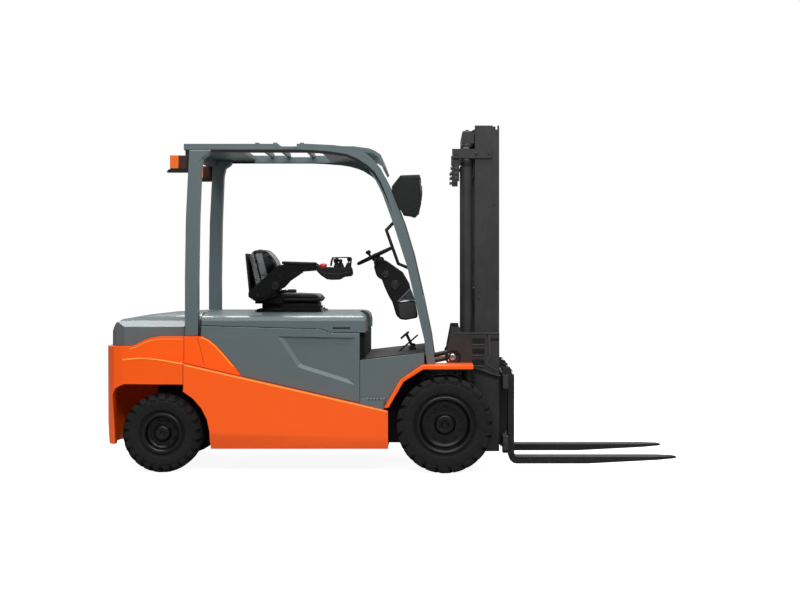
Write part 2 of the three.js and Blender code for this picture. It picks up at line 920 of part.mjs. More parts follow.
// ---------------------------------------------------------------- hood and seat
function hood() {
  const step = frontX - 837;
  const outline = [
    [hoodRearX, hoodSeamRearZ],
    [step - 56, hoodSeamRearZ - 25],
    [step, hoodSeamFrontZ + 3],
    [hoodFrontX, hoodSeamFrontZ],
    [hoodFrontX, 1080],
    [hoodFrontX - 10, 1118],
    [hoodFrontX - 32, 1142],
    [hoodFrontX - 60, hoodTopZ],
    [hoodRearX, hoodTopZ],
  ];
  const halfSection = [
    [hoodSideY, 0],
    [hoodSideY, 1098],
    [hoodSideY - 14, 1122],
    [hoodSideY - 50, 1134],
    [430, hoodTopZ],
  ];
  const section = [...halfSection, ...halfSection.map(([y, z]) => [-y, z]).reverse()];
  // The recess between the operator's legs keeps the opening hood clear of the steering wheel.
  const recess = (wall) =>
    prism(
      [
        [hoodFrontX + 1, -legRecessY - legRecessDepth - wall],
        [hoodFrontX + 1, legRecessY + legRecessDepth + wall],
        [hoodFrontX - legRecessDepth - wall, legRecessY + wall],
        [hoodFrontX - legRecessDepth - wall, -legRecessY - wall],
      ],
      0,
      far,
    );
  const shell = slab(outline, -hoodSideY, hoodSideY).intersect(beam(section, -far, far));
  const space = block(
    hoodRearX + hoodWall,
    hoodFrontX - hoodWall,
    -hoodSideY + hoodWall,
    hoodSideY - hoodWall,
    0,
    hoodTopZ - hoodWall,
  );
  const hollow = cut(space, recess(hoodWall));
  const notch = block(
    hoodRearX - 1,
    hingeX + hingeLugRadius + 7,
    hingeY - hingeHalf - 2,
    hingeY + hingeHalf + 2,
    0,
    hoodTopZ - 6,
  );
  const pin = rod(
    [hingeX, hingeY - hingeHalf - 10, hingeZ],
    [hingeX, hingeY + hingeHalf + 10, hingeZ],
    hingePinRadius,
  );
  const opened = cut(shell, hollow, recess(0), notch, mirrored(notch));
  add("hood", join(opened, pin, mirrored(pin)), greyGreen);
}

const seatBaseTop = 1215;
const seatRearX = frontX - 1416;
const seatFrontX = frontX - 925;

function seat() {
  const base = join(
    block(seatRearX, seatFrontX, -210, 210, hoodTopZ + fitGap, hoodTopZ + 22),
    block(seatRearX + 40, seatFrontX - 30, -190, 190, hoodTopZ + 15, seatBaseTop),
  );
  add("seat_base", base, plasticBlack);
  const cushion = slab(
    [
      [frontX - 1252, seatBaseTop + fitGap],
      [frontX - 925, seatBaseTop + fitGap],
      [frontX - 905, seatBaseTop + 22],
      [frontX - 912, 1262],
      [frontX - 950, 1280],
      [frontX - 1252, 1290],
    ],
    -seatHalfWidth,
    seatHalfWidth,
  );
  add("seat_cushion", cushion, seatBlack);
  const back = slab(
    [
      [frontX - 1253, seatBaseTop + fitGap],
      [frontX - 1400, seatBaseTop + fitGap],
      [frontX - 1470, 1300],
      [frontX - 1498, 1585],
      [frontX - 1470, 1636],
      [frontX - 1371, 1642],
      [frontX - 1300, 1595],
      [frontX - 1258, 1525],
      [frontX - 1280, 1400],
      [frontX - 1253, 1300],
    ],
    -seatHalfWidth,
    seatHalfWidth,
  );
  add("seat_back", back, seatBlack);
}

function armrest() {
  const outer = -seatHalfWidth - fitGap - 95;
  const inner = -seatHalfWidth - fitGap;
  const bracket = slab(
    [
      [frontX - 1464, 1262],
      [frontX - 1400, 1222],
      [frontX - 1330, 1240],
      [frontX - 1230, 1318],
      [frontX - 1108, 1428],
      [frontX - 955, 1457],
      [frontX - 955, 1521],
      [frontX - 1180, 1531],
      [frontX - 1240, 1520],
      [frontX - 1464, 1300],
    ],
    outer,
    inner,
  );
  const console = slab(
    [
      [frontX - 960, 1455],
      [frontX - 890, 1400],
      [frontX - 810, 1392],
      [frontX - 760, 1415],
      [frontX - 700, 1420],
      [frontX - 689, 1470],
      [frontX - 700, 1497],
      [frontX - 850, 1500],
      [frontX - 960, 1521],
    ],
    outer - 25,
    inner + 10,
  );
  add("armrest", join(bracket, console), plasticBlack);
}

// ---------------------------------------------------------------- controls
const wheelCentre = [frontX - 531, 0, 1573];
const columnLean = Math.atan2(123, 258); // steering wheel's plane above the horizontal
const hubDrop = 36; // from the steering wheel's plane down to the column's top

// A point under the steering wheel's centre: forward in its plane, then down square to it.
function belowWheel(forward, down) {
  const [x, , z] = wheelCentre;
  return [
    x + forward * Math.cos(columnLean) + down * Math.sin(columnLean),
    z + forward * Math.sin(columnLean) - down * Math.cos(columnLean),
  ];
}

function steering() {
  const [x, y, z] = wheelCentre;
  const ring = new THREE.TorusGeometry(steeringRadius, steeringGrip, 8, 28);
  const parts = [solid(ring)];
  for (const turn of [Math.PI / 2, Math.PI * (7 / 6), Math.PI * (11 / 6)]) {
    const reach = steeringRadius;
    const spoke = new THREE.BoxGeometry(reach, 26, 10).translate(reach / 2, 0, 0).rotateZ(turn);
    parts.push(solid(spoke));
  }
  const hub = new THREE.CylinderGeometry(32, 38, hubDrop + 17, 12).rotateX(Math.PI / 2);
  parts.push(solid(hub.translate(0, 0, (17 - hubDrop) / 2)));
  const knobAt = steeringRadius * 0.95;
  parts.push(solid(new THREE.CylinderGeometry(9, 9, 34, 8).rotateX(Math.PI / 2).translate(-40, knobAt, 20)));
  parts.push(solid(new THREE.SphereGeometry(20, 8, 6).translate(-40, knobAt, 44)));
  const flat = geometryOf(join(parts));
  flat.rotateY(-columnLean).translate(x, y, z);
  add("steering_wheel", solid(flat), plasticBlack);

  const cowlFace = (h) => between(h, 957, frontX - 146, 1129, frontX - 186) - 1;
  const tower = slab(
    [
      belowWheel(-38, hubDrop + fitGap),
      belowWheel(52, hubDrop + fitGap),
      [frontX - 442, 1525],
      [frontX - 337, 1441],
      [frontX - 272, 1355],
      [frontX - 261, 1323],
      [cowlFace(1237) - 8, 1237],
      [cowlFace(1129) + 0.5, 1129],
      [cowlFace(1098) + 0.5, 1098],
      [frontX - 294, 1081],
      [frontX - 337, 1087],
      [frontX - 370, 1119],
      [frontX - 402, 1226],
      [frontX - 509, 1415],
      [frontX - 540, 1495],
    ],
    -62,
    62,
  );
  add("steering_column", tower, plasticBlack);
}

function pedals() {
  const floorAt = (x) => floorTopAt(x) + fitGap;
  const x0 = frontX - 215;
  const foot = slab(
    [
      [x0 - 40, floorAt(x0 - 40)],
      [x0, floorAt(x0)],
      [x0, floorAt(x0) + 24],
      [x0 - 40, floorAt(x0 - 40) + 24],
    ],
    -230,
    -30,
  );
  const lever = (y) =>
    join(
      rod([x0 - 20, y, floorAt(x0) + 8], [x0 - 75, y, 985], 9, 10),
      slab(
        [
          [x0 - 118, 952],
          [x0 - 60, 1000],
          [x0 - 52, 990],
          [x0 - 110, 942],
        ],
        y - 32,
        y + 32,
      ),
    );
  add("pedals", join(foot, lever(-190), lever(-75)), plasticBlack);
}

// ---------------------------------------------------------------- mast
const railFrontX = railRearX + railDepth;
const railInnerY = railOuterY - railWidth;
const innerRearX = railRearX + railFlange + passGap;
const innerFrontX = railFrontX - railFlange - passGap;
const innerOuterY = railOuterY - railWeb - passGap;
const innerInnerY = innerOuterY - innerWidth;

// A channel standing on end, open towards the middle of the truck.
function channel(x0, x1, yIn, yOut, web, flange, z0, z1) {
  return join(
    block(x0, x1, yOut - web, yOut, z0, z1),
    block(x0, x0 + flange, yIn, yOut, z0, z1),
    block(x1 - flange, x1, yIn, yOut, z0, z1),
  );
}

function outerMast() {
  const rail = cut(
    channel(railRearX, railFrontX, railInnerY, railOuterY, railWeb, railFlange, mastFootZ, mastHeight),
    block(railRearX + 132, railFrontX - 12, railInnerY - 1, railOuterY + 1, mastHeight - 30, far),
  );
  const tieRear = railRearX - 18;
  const tieFront = innerRearX - 12;
  const tie = (z0, z1) => block(tieRear, tieFront, 0, railInnerY + 20, z0, z1);
  const headZ = liftBarrelTopZ + 6;
  const headTop = headZ + 73;
  const rodHole = rod([liftX, liftY, 0], [liftX, liftY, far], liftRodRadius + 6);
  const hoseFrontX = liftX - liftBarrelRadius - liftRailGap;
  const head = join(
    cut(block(frontX + 56, railRearX + 4, railInnerY - 3, railOuterY, headZ, headTop), rodHole),
    block(frontX + 56, railRearX + 127, railOuterY - 1, railOuterY + 9, headZ, headTop),
    block(hoseFrontX - 46, hoseFrontX, liftY - 20, liftY + 30, headZ - 165, headZ + 5),
  );

  // The arm wraps the axle tube, which is the tilt pivot, and carries the lift cylinder's seat.
  const armOuterY = railInnerY + 20;
  const armInnerY = railInnerY - 28;
  const z = frontTyreRadius;
  const arm = join(
    rod([frontX, armInnerY, z], [frontX, armOuterY, z], axleTubeRadius + 40),
    slab(
      [
        [frontX - 20, z - 112],
        [railRearX + 4, 150],
        [railRearX + 4, liftSeatZ - fitGap],
        [liftX - liftBarrelRadius - 14, liftSeatZ - fitGap],
        [frontX - 40, z + 106],
      ],
      armInnerY,
      armOuterY,
    ),
    block(
      liftX - liftBarrelRadius - 14,
      railRearX + 4,
      armInnerY,
      liftY + liftBarrelRadius,
      liftSeatZ - 45,
      liftSeatZ - fitGap,
    ),
  );
  const axleBore = rod([frontX, 0, z], [frontX, far / 8, z], axleTubeRadius + 1);

  // The side housing covers the tilt rod's eye and holds its pin.
  const housingOuterY = fenderInnerY - 6;
  const housing = join(
    slab(
      [
        [frontX + 50, 1043],
        [liftX - liftBarrelRadius - 12, 1043],
        [liftX - liftBarrelRadius - 4, 1003],
        [railFrontX, 1003],
        [railFrontX, 684],
        [frontX + 380, 690],
        [frontX + 216, 747],
        [frontX + 15, 747],
        [frontX + 19, 882],
      ],
      housingOuterY - 20,
      housingOuterY,
    ),
    block(railRearX + 8, railFrontX - 8, railOuterY - 2, housingOuterY - 15, 720, 990),
    rod(
      [tiltHeadX, tiltY - tiltEyeWidth / 2 - 6, tiltHeadZ],
      [tiltHeadX, housingOuterY - 10, tiltHeadZ],
      tiltPinRadius,
    ),
  );
  const left = join(rail, tie(180, 330), tie(1240, 1330), tie(2180, 2270), head, cut(arm, axleBore), housing);
  add("outer_mast", join(left, mirrored(left)), mastBlack);
}

const innerMastTop = mastHeight - 5;
const crossheadZ = 2400;
const crossheadTop = 2482;

function innerMast() {
  const rail = channel(
    innerRearX,
    innerFrontX,
    innerInnerY,
    innerOuterY,
    innerWeb,
    innerFlange,
    mastFootZ + 17,
    innerMastTop,
  );
  const tieFront = innerRearX + innerFlange - 3;
  const tieY = innerInnerY + 18;
  const tie = (z0, z1) => block(innerRearX - 4, tieFront, 0, tieY, z0, z1);
  const crosshead = join(
    block(liftX - 37, railRearX - 7, 0, railOuterY, crossheadZ, crossheadTop),
    block(railRearX - 8, tieFront, 0, railInnerY - 7, crossheadZ, crossheadTop),
  );
  const left = join(rail, tie(150, 240), tie(1120, 1200), crosshead);
  add("inner_mast", join(left, mirrored(left)), mastBlack);
}

function liftCylinders() {
  const barrel = cut(
    rod([liftX, liftY, liftSeatZ], [liftX, liftY, liftBarrelTopZ], liftBarrelRadius),
    rod([liftX, liftY, liftSeatZ + 30], [liftX, liftY, far], liftRodRadius + slideGap),
  );
  addPair("lift_barrel", barrel, mastBlack);
  const ram = rod(
    [liftX, liftY, liftSeatZ + 40],
    [liftX, liftY, crossheadZ - fitGap],
    liftRodRadius,
  );
  addPair("lift_rod", ram, chrome);
}

function carriage() {
  const frontFace = carriageBackX + carriageBarThick;
  const bar = (z0) =>
    block(carriageBackX, frontFace, 0, carriageHalfWidth, z0, z0 + carriageBarHeight);
  const groove = block(
    carriageBackX + 12,
    carriageBackX + 26,
    -far,
    far,
    carriageTopZ - hookDrop,
    carriageTopZ + 1,
  );
  const plateOuterY = innerInnerY - 10;
  const plate = block(
    innerRearX + innerFlange + passGap,
    carriageBackX + 5,
    plateOuterY - 28,
    plateOuterY,
    carriageFootZ + 10,
    carriageTopZ - 25,
  );
  const strut = block(
    carriageBackX - 10,
    frontFace - 8,
    plateOuterY - 80,
    plateOuterY,
    carriageFootZ,
    carriageTopZ - hookDrop - 8,
  );
  const rollerX = (innerRearX + innerFrontX) / 2;
  const rollerRadius = (innerFrontX - innerRearX) / 2 - innerFlange - slideGap;
  const roller = (z) =>
    rod([rollerX, plateOuterY - 5, z], [rollerX, innerOuterY - innerWeb - 8, z], rollerRadius);
  const left = join(
    cut(bar(carriageTopZ - carriageBarHeight), groove),
    bar(carriageFootZ),
    plate,
    strut,
    roller(260),
    roller(600),
  );
  add("carriage", join(left, mirrored(left)), mastBlack);
}

function forks() {
  const shankX = forkFaceX - forkThick;
  const tipX = forkFaceX + forkLength;
  const taperX = forkFaceX + forkLength * 0.45;
  const bladeTop = forkFootZ + forkBladeThick;
  const side = [
    [shankX, forkFootZ + 70],
    [shankX + 12, forkFootZ + 28],
    [shankX + 36, forkFootZ + 6],
    [shankX + 62, forkFootZ],
    [taperX, forkFootZ],
    [tipX, bladeTop - 16],
    [tipX, bladeTop - 4],
    [tipX - 30, bladeTop],
    [forkFaceX + 22, bladeTop],
    [forkFaceX + 5, bladeTop + 7],
    [forkFaceX, bladeTop + 24],
    [forkFaceX, forkTopZ],
    [shankX, forkTopZ],
  ];
  const half = forkWidth / 2;
  const plan = [
    [shankX - 1, forkY - half],
    [tipX - 150, forkY - half],
    [tipX - 30, forkY - half + 34],
    [tipX, forkY - half + 60],
    [tipX, forkY + half - 60],
    [tipX - 30, forkY + half - 34],
    [tipX - 150, forkY + half],
    [shankX - 1, forkY + half],
  ];
  const blade = slab(side, forkY - half, forkY + half).intersect(prism(plan, 0, far));
  const hookHalf = half - 10;
  const hook = join(
    slab(
      [
        [carriageBackX + 2, carriageTopZ + slideGap],
        [shankX + 1, carriageTopZ + slideGap],
        [shankX + 1, forkTopZ - 40],
        [forkFaceX - 12, forkTopZ - 1],
        [shankX + 18, forkHookTopZ],
        [carriageBackX + 2, forkHookTopZ],
      ],
      forkY - hookHalf,
      forkY + hookHalf,
    ),
    block(
      carriageBackX + 12 + slideGap,
      carriageBackX + 26 - slideGap,
      forkY - hookHalf,
      forkY + hookHalf,
      carriageTopZ - hookDrop + slideGap,
      carriageTopZ + slideGap + 1,
    ),
    block(
      carriageBackX + 2,
      shankX + 1,
      forkY - hookHalf,
      forkY + hookHalf,
      carriageFootZ - slideGap - 30,
      carriageFootZ - slideGap,
    ),
  );
  addPair("fork", join(blade, hook), mastBlack);
}

// ---------------------------------------------------------------- tilt cylinders
const tiltSpan = Math.hypot(tiltHeadX - tiltBaseX, tiltHeadZ - tiltBaseZ);
const tiltRise = Math.atan2(tiltHeadZ - tiltBaseZ, tiltHeadX - tiltBaseX);

// A point at a distance from the base pin towards the head pin.
function alongTilt(distance, y = tiltY) {
  return [
    tiltBaseX + distance * Math.cos(tiltRise),
    y,
    tiltBaseZ + distance * Math.sin(tiltRise),
  ];
}

function tiltCylinders() {
  const eyeY0 = tiltY - tiltEyeWidth / 2;
  const eyeY1 = tiltY + tiltEyeWidth / 2 - 2;
  const hole = (distance, clear) =>
    rod(alongTilt(distance, 0), alongTilt(distance, far / 4), tiltPinRadius + clear);
  const barrelEnd = 350;
  const barrelStart = 62;
  const barrel = cut(
    join(
      rod(alongTilt(0, eyeY0), alongTilt(0, eyeY1), tiltEyeRadius),
      rod(alongTilt(24), alongTilt(barrelStart + 6), 17),
      rod(alongTilt(barrelStart), alongTilt(barrelEnd), tiltBarrelRadius),
    ),
    hole(0, 2 * fitGap),
    rod(alongTilt(barrelStart + 20), alongTilt(barrelEnd + 20), tiltRodRadius + slideGap),
  );
  addPair("tilt_barrel", barrel, mastBlack);
  const ram = cut(
    join(
      rod(alongTilt(tiltSpan, eyeY0), alongTilt(tiltSpan, eyeY1), tiltEyeRadius),
      rod(alongTilt(barrelStart + 110), alongTilt(tiltSpan - 22), tiltRodRadius),
    ),
    hole(tiltSpan, tiltPinClear),
  );
  addPair("tilt_rod", ram, chrome);
}

// ---------------------------------------------------------------- assembly
frontWheels();
rearWheels();
driveAxle();
steerAxle();
knuckles();
mainFrame();
skirts();
counterweight();
rearCowl();
battery();
sideCovers();
cabFloor();
fenders();
frontCowl();
guardSides();
rearPillars();
roof();
headlights();
rearLights();
hood();
seat();
armrest();
steering();
pedals();
outerMast();
innerMast();
liftCylinders();
carriage();
forks();
tiltCylinders();

export default group;
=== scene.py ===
"""Looks for the four-wheel electric forklift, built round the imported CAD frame."""

import math

import bmesh
import bpy
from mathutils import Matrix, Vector
from mathutils.geometry import tessellate_polygon


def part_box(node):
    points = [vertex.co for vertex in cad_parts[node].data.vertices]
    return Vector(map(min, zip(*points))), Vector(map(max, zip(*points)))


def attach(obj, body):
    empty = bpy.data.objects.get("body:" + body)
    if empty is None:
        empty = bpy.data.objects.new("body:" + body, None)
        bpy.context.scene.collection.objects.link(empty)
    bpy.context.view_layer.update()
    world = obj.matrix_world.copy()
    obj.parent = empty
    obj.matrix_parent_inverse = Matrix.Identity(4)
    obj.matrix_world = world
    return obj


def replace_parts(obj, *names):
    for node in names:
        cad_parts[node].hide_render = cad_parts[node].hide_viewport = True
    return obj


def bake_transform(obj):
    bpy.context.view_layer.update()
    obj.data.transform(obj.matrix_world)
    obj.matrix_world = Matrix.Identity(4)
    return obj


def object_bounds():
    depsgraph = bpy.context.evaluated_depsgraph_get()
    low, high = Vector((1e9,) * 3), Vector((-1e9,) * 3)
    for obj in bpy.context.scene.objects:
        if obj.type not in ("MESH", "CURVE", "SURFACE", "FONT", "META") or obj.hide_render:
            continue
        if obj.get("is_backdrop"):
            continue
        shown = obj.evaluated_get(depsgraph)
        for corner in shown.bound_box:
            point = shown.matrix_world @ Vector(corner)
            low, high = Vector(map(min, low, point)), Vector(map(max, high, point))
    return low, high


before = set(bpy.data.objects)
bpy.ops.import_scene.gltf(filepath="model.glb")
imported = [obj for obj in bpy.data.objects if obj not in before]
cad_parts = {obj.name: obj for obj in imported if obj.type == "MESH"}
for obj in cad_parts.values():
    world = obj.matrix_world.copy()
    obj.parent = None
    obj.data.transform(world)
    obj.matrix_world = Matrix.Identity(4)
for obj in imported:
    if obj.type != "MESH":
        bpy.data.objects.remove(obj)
cad_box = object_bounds()
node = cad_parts

# ---------------- places
MM = 0.001
SIDES = (("right", -1), ("left", 1))
front_low, front_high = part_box("front_tyre_right")
rear_low, rear_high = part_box("rear_tyre_right")
FRONT_X = (front_low.x + front_high.x) / 2
REAR_X = (rear_low.x + rear_high.x) / 2
REAR = (REAR_X - FRONT_X) / MM  # the rear axle, ahead of the front one
FRONT_R = (front_high.z - front_low.z) / 2 / MM
REAR_R = (rear_high.z - rear_low.z) / 2 / MM


def at(ahead, y, z):
    """A point in millimetres, measured ahead of the front axle, as the frame's metres."""
    return Vector((FRONT_X + ahead * MM, y * MM, z * MM))


# ---------------- node helpers
def srgb(r, g, b):
    def linear(c):
        c /= 255
        return c / 12.92 if c <= 0.04045 else ((c + 0.055) / 1.055) ** 2.4

    return (linear(r), linear(g), linear(b), 1.0)


def tone(level):
    """A neutral grey."""
    return srgb(level, level, level)


def scaled(colour, k):
    """A colour made k times as bright."""
    return tuple(min(1.0, c * k) for c in colour[:3]) + (1.0,)


def feed(tree, made, sockets):
    """Gives each named or numbered input of a node its value, or the output that feeds it."""
    for key, value in sockets.items():
        if isinstance(value, bpy.types.NodeSocket):
            tree.links.new(value, made.inputs[key])
        else:
            made.inputs[key].default_value = value


def make_node(tree, kind, output=0, sockets=None, **settings):
    """The chosen output of a new node."""
    made = tree.nodes.new(kind)
    for key, value in settings.items():
        setattr(made, key, value)
    feed(tree, made, sockets or {})
    return made.outputs[output]


class Nodes:
    """A material's node tree, with short calls for the nodes that every finish uses."""

    def __init__(self, name):
        self.material = bpy.data.materials.new(name)
        self.material.use_nodes = True
        self.tree = self.material.node_tree
        self.tree.nodes.clear()
        self.shader = self.make("BsdfPrincipled").node
        self.out = self.tree.nodes.new("ShaderNodeOutputMaterial")
        feed(self.tree, self.out, {0: self.shader.outputs[0]})
        self.where = self.make("TexCoord", "Object")

    def make(self, kind, output=0, sockets=None, **settings):
        return make_node(self.tree, "ShaderNode" + kind, output, sockets, **settings)

    def stretched(self, stretch):
        if stretch is None:
            return self.where
        return self.make("Mapping", 0, {"Scale": stretch, "Vector": self.where})

    def noise(self, scale, detail=3.0, rough=0.55, stretch=None):
        sockets = {"Scale": scale, "Detail": detail, "Roughness": rough, "Distortion": 0.0}
        return self.make("TexNoise", "Fac", {**sockets, "Vector": self.stretched(stretch)})

    def cells(self, scale):
        return self.make("TexVoronoi", "Distance", {"Scale": scale, "Vector": self.where}, feature="F1")

    def wave(self, scale, direction="X", profile="SIN", distort=0.0):
        sockets = {"Scale": scale, "Distortion": distort, "Vector": self.where}
        return self.make("TexWave", "Fac", sockets, bands_direction=direction, wave_profile=profile)

    def ramp(self, fac, low, high, at_low=0.35, at_high=0.65):
        colour = self.make("ValToRGB", "Color", {"Fac": fac})
        first, last = colour.node.color_ramp.elements
        first.position, last.position = at_low, at_high
        first.color, last.color = low, high
        return colour

    def shades(self, fac, colour, low, high, at_low=0.35, at_high=0.65):
        """A ramp between two strengths of one colour."""
        return self.ramp(fac, scaled(colour, low), scaled(colour, high), at_low, at_high)

    def range(self, fac, low, high, from_low=0.0, from_high=1.0):
        sockets = {"From Min": from_low, "From Max": from_high, "To Min": low, "To Max": high}
        return self.make("MapRange", "Result", {**sockets, "Value": fac})

    def math(self, operation, a, b):
        return self.make("Math", 0, {0: a, 1: b}, operation=operation)

    def mix(self, fac, a, b):
        return self.make("Mix", 2, {0: fac, 6: a, 7: b}, data_type="RGBA")

    def bump(self, *heights):
        """Each height is (socket, strength, distance in metres), laid one on another."""
        normal = {}
        for height, strength, distance in heights:
            sockets = {"Strength": strength, "Distance": distance, "Height": height, **normal}
            normal = {"Normal": self.make("Bump", 0, sockets)}
        feed(self.tree, self.shader, normal)

    def finish(self, colour, rough, specular=0.5, **constants):
        named = {key.replace("_", " "): value for key, value in constants.items()}
        main = {"Base Color": colour, "Roughness": rough, "Specular IOR Level": specular}
        feed(self.tree, self.shader, {**main, **named})
        return self.material


# ---------------- finishes
def paint_finish(name, colour, gloss, coat, spread):
    """Sprayed enamel: fine orange peel and a faint unevenness of colour."""
    n = Nodes(name)
    base = n.shades(n.noise(1.7, 4), colour, 1 - spread, 1 + spread, 0.3, 0.7)
    rough = n.range(n.noise(38, 5, 0.6), gloss - 0.05, gloss + 0.10)
    n.bump((n.noise(260, 2), 0.06, 0.0006), (n.noise(9, 2), 0.05, 0.002))
    return n.finish(base, rough, 0.28, Coat_Weight=coat, Coat_Roughness=0.08)


def steel_finish(name, colour, worn, gloss, amount):
    """Painted or scaled steel: grainy, scuffed along its broad noise, with some bare metal."""
    n = Nodes(name)
    broad = n.noise(4.5, 5, 0.6)
    scratches = n.noise(60, 6, 0.7, stretch=(1, 1, 0.12))
    bare = n.math("MULTIPLY", n.range(scratches, 0, 1, 0.56, 0.74), amount)
    base = n.mix(bare, n.shades(broad, colour, 0.82, 1.18), worn)
    n.bump((n.noise(120, 4), 0.16, 0.001), (broad, 0.1, 0.002))
    return n.finish(base, n.range(scratches, gloss - 0.1, gloss + 0.15), 0.3, Metallic=0.1)


def cast_finish(name, colour):
    """Sand-cast iron under black primer."""
    n = Nodes(name)
    pits = n.cells(150)
    base = n.shades(n.noise(7, 6, 0.65), colour, 0.75, 1.3)
    n.bump((pits, 0.25, 0.0015), (n.noise(34, 5), 0.3, 0.002))
    return n.finish(base, n.range(pits, 0.55, 0.8), 0.25, Metallic=0.1)


def plastic_finish(name, colour, gloss=0.5, grain=700.0, specular=0.25):
    """Moulded plastic with a fine leather grain."""
    n = Nodes(name)
    base = n.shades(n.noise(12, 4), colour, 0.88, 1.14)
    n.bump((n.cells(grain), 0.22, 0.0005), (n.noise(5, 2), 0.04, 0.002))
    return n.finish(base, n.range(n.noise(30, 3), gloss - 0.06, gloss + 0.08), specular)


def rubber_finish(name, colour, dust):
    """Tyre rubber, dull and dusty in its low places."""
    n = Nodes(name)
    broad = n.noise(14, 6, 0.65)
    settled = n.math("MULTIPLY", n.range(n.noise(46, 5, 0.7), 0, 1, 0.52, 0.8), 0.35)
    base = n.mix(settled, n.shades(broad, colour, 0.8, 1.25), dust)
    n.bump((n.noise(220, 4), 0.2, 0.0008), (n.cells(60), 0.08, 0.001))
    return n.finish(base, n.range(broad, 0.6, 0.85), 0.2)


def chrome_finish(name):
    """Ground and plated rod, with fine turned marks round it."""
    n = Nodes(name)
    base = n.ramp(n.noise(20, 3), srgb(168, 170, 173), srgb(214, 216, 220))
    n.bump((n.wave(160, "Z", distort=1.5), 0.03, 0.0003))
    return n.finish(base, n.range(n.noise(60, 4), 0.1, 0.24), Metallic=1.0)


def fabric_finish(name, colour, thread):
    """Woven seat cloth of two crossing threads."""
    n = Nodes(name)
    warp, weft, side = (n.wave(240, axis, "SIN", 0.6) for axis in "XZY")
    weave = n.math("MULTIPLY", n.math("MAXIMUM", warp, side), weft)
    shade = n.mix(weave, scaled(colour, 0.75), thread)
    broad = n.shades(n.noise(9, 4), colour, 0.85, 1.2)
    base = n.mix(n.range(n.noise(24, 4), 0.25, 0.6), shade, broad)
    n.bump((weave, 0.35, 0.0012))
    return n.finish(base, n.range(weave, 0.78, 0.92), Sheen_Weight=0.25, Sheen_Roughness=0.5)


def vinyl_finish(name, colour):
    """Black seat vinyl with a soft grain."""
    n = Nodes(name)
    grain = n.cells(420)
    base = n.shades(n.noise(10, 4), colour, 0.85, 1.3)
    n.bump((grain, 0.3, 0.0008), (n.noise(26, 3), 0.12, 0.002))
    return n.finish(base, n.range(grain, 0.42, 0.6), 0.2)


def lens_finish(name, colour, rough=0.12):
    """A moulded lamp lens, ribbed inside."""
    n = Nodes(name)
    ribs = n.wave(55, "Z", "SIN")
    base = n.shades(ribs, colour, 0.7, 1.15, 0.2, 0.8)
    n.bump((ribs, 0.3, 0.001), (n.wave(55, "Y", "SIN"), 0.3, 0.001))
    return n.finish(base, n.range(n.noise(40, 2), rough, rough + 0.08), Coat_Weight=0.7, IOR=1.49)


def mat_finish(name, colour):
    """Rubber floor mat with small round studs."""
    n = Nodes(name)
    studs = n.range(n.cells(42), 1, 0, 0.18, 0.34)
    base = n.shades(n.noise(11, 5), colour, 0.8, 1.25)
    worn = n.mix(n.math("MULTIPLY", studs, 0.3), base, scaled(colour, 1.9))
    n.bump((studs, 0.7, 0.003), (n.noise(160, 3), 0.15, 0.0008))
    return n.finish(worn, n.range(n.noise(30, 4), 0.6, 0.85), 0.25)


def chain_finish(name):
    """Oiled leaf chain: plates that overlap in rows, with round pin ends."""
    n = Nodes(name)
    rows = n.wave(8.0, "Z", "TRI")
    base = n.ramp(rows, srgb(24, 23, 22), srgb(96, 92, 86), 0.2, 0.75)
    n.bump((rows, 0.8, 0.004), (n.noise(180, 3), 0.15, 0.0006))
    return n.finish(base, n.range(n.noise(50, 4), 0.28, 0.5), 0.4, Metallic=0.6)


orange = paint_finish("orange_enamel", srgb(255, 92, 0), 0.34, 0.3, 0.025)
grey = paint_finish("grey_green_enamel", srgb(90, 102, 104), 0.33, 0.5, 0.04)
# A lighter orange used as painted highlight along the crests of the orange panels.
highlight_orange = paint_finish("highlight_orange", srgb(255, 158, 70), 0.3, 0.5, 0.02)
# Two lighter greys, used as painted highlight on the up-facing slopes of the side cover's pressing.
lit_slope_grey = paint_finish("lit_slope_grey", srgb(108, 120, 121), 0.3, 0.5, 0.05)
highlight_grey = paint_finish("highlight_grey", srgb(132, 144, 145), 0.3, 0.5, 0.06)
mast_paint = steel_finish("mast_enamel", tone(46), tone(84), 0.48, 0.18)
# A lighter copy of the mast enamel for the housing ribs: painted highlight on the ribs.
lit_rib_paint = steel_finish("lit_rib_enamel", tone(56), tone(100), 0.42, 0.2)
fork_steel = steel_finish("fork_steel", tone(26), srgb(84, 82, 80), 0.5, 0.25)
dull_rod = steel_finish("dull_rod", tone(64), srgb(150, 150, 148), 0.42, 0.5)
frame_paint = steel_finish("chassis_black", srgb(17, 17, 18), srgb(42, 41, 40), 0.62, 0.3)
rim_paint = steel_finish("rim_enamel", tone(14), tone(66), 0.34, 0.2)
battery_case = steel_finish("battery_case", srgb(59, 74, 82), srgb(120, 124, 126), 0.55, 0.3)
step_steel = steel_finish("step_steel", srgb(120, 126, 126), srgb(190, 192, 192), 0.4, 0.6)
iron = cast_finish("axle_iron", srgb(40, 40, 41))
rubber = rubber_finish("tyre_rubber", tone(22), srgb(52, 51, 48))
rubber_pad = rubber_finish("pedal_rubber", tone(20), srgb(44, 43, 41))
column_grey = plastic_finish("column_grey", tone(58), 0.45, 620)
plastic = plastic_finish("black_plastic", srgb(17, 18, 18))
plastic_soft = plastic_finish("soft_grip", srgb(11, 11, 12), 0.62, 520)
deep_black = plastic_finish("deep_black", srgb(4, 4, 5), 0.58, 600, 0.16)
plastic_grey = plastic_finish("charcoal_plastic", srgb(44, 44, 46), 0.45)
red_plastic = plastic_finish("red_button", srgb(200, 40, 34), 0.35, 400)
lamp_brown = plastic_finish("lamp_brown", srgb(60, 34, 26), 0.35, 500)
lip_grey = plastic_finish("lip_grey", srgb(104, 106, 108), 0.4)
gasket = plastic_finish("gasket", srgb(16, 17, 17), 0.6, 520)
vinyl = vinyl_finish("seat_vinyl", srgb(4, 4, 5))
cloth_grey = fabric_finish("seat_cloth", srgb(86, 88, 90), srgb(150, 152, 155))
chrome = chrome_finish("rod_chrome")
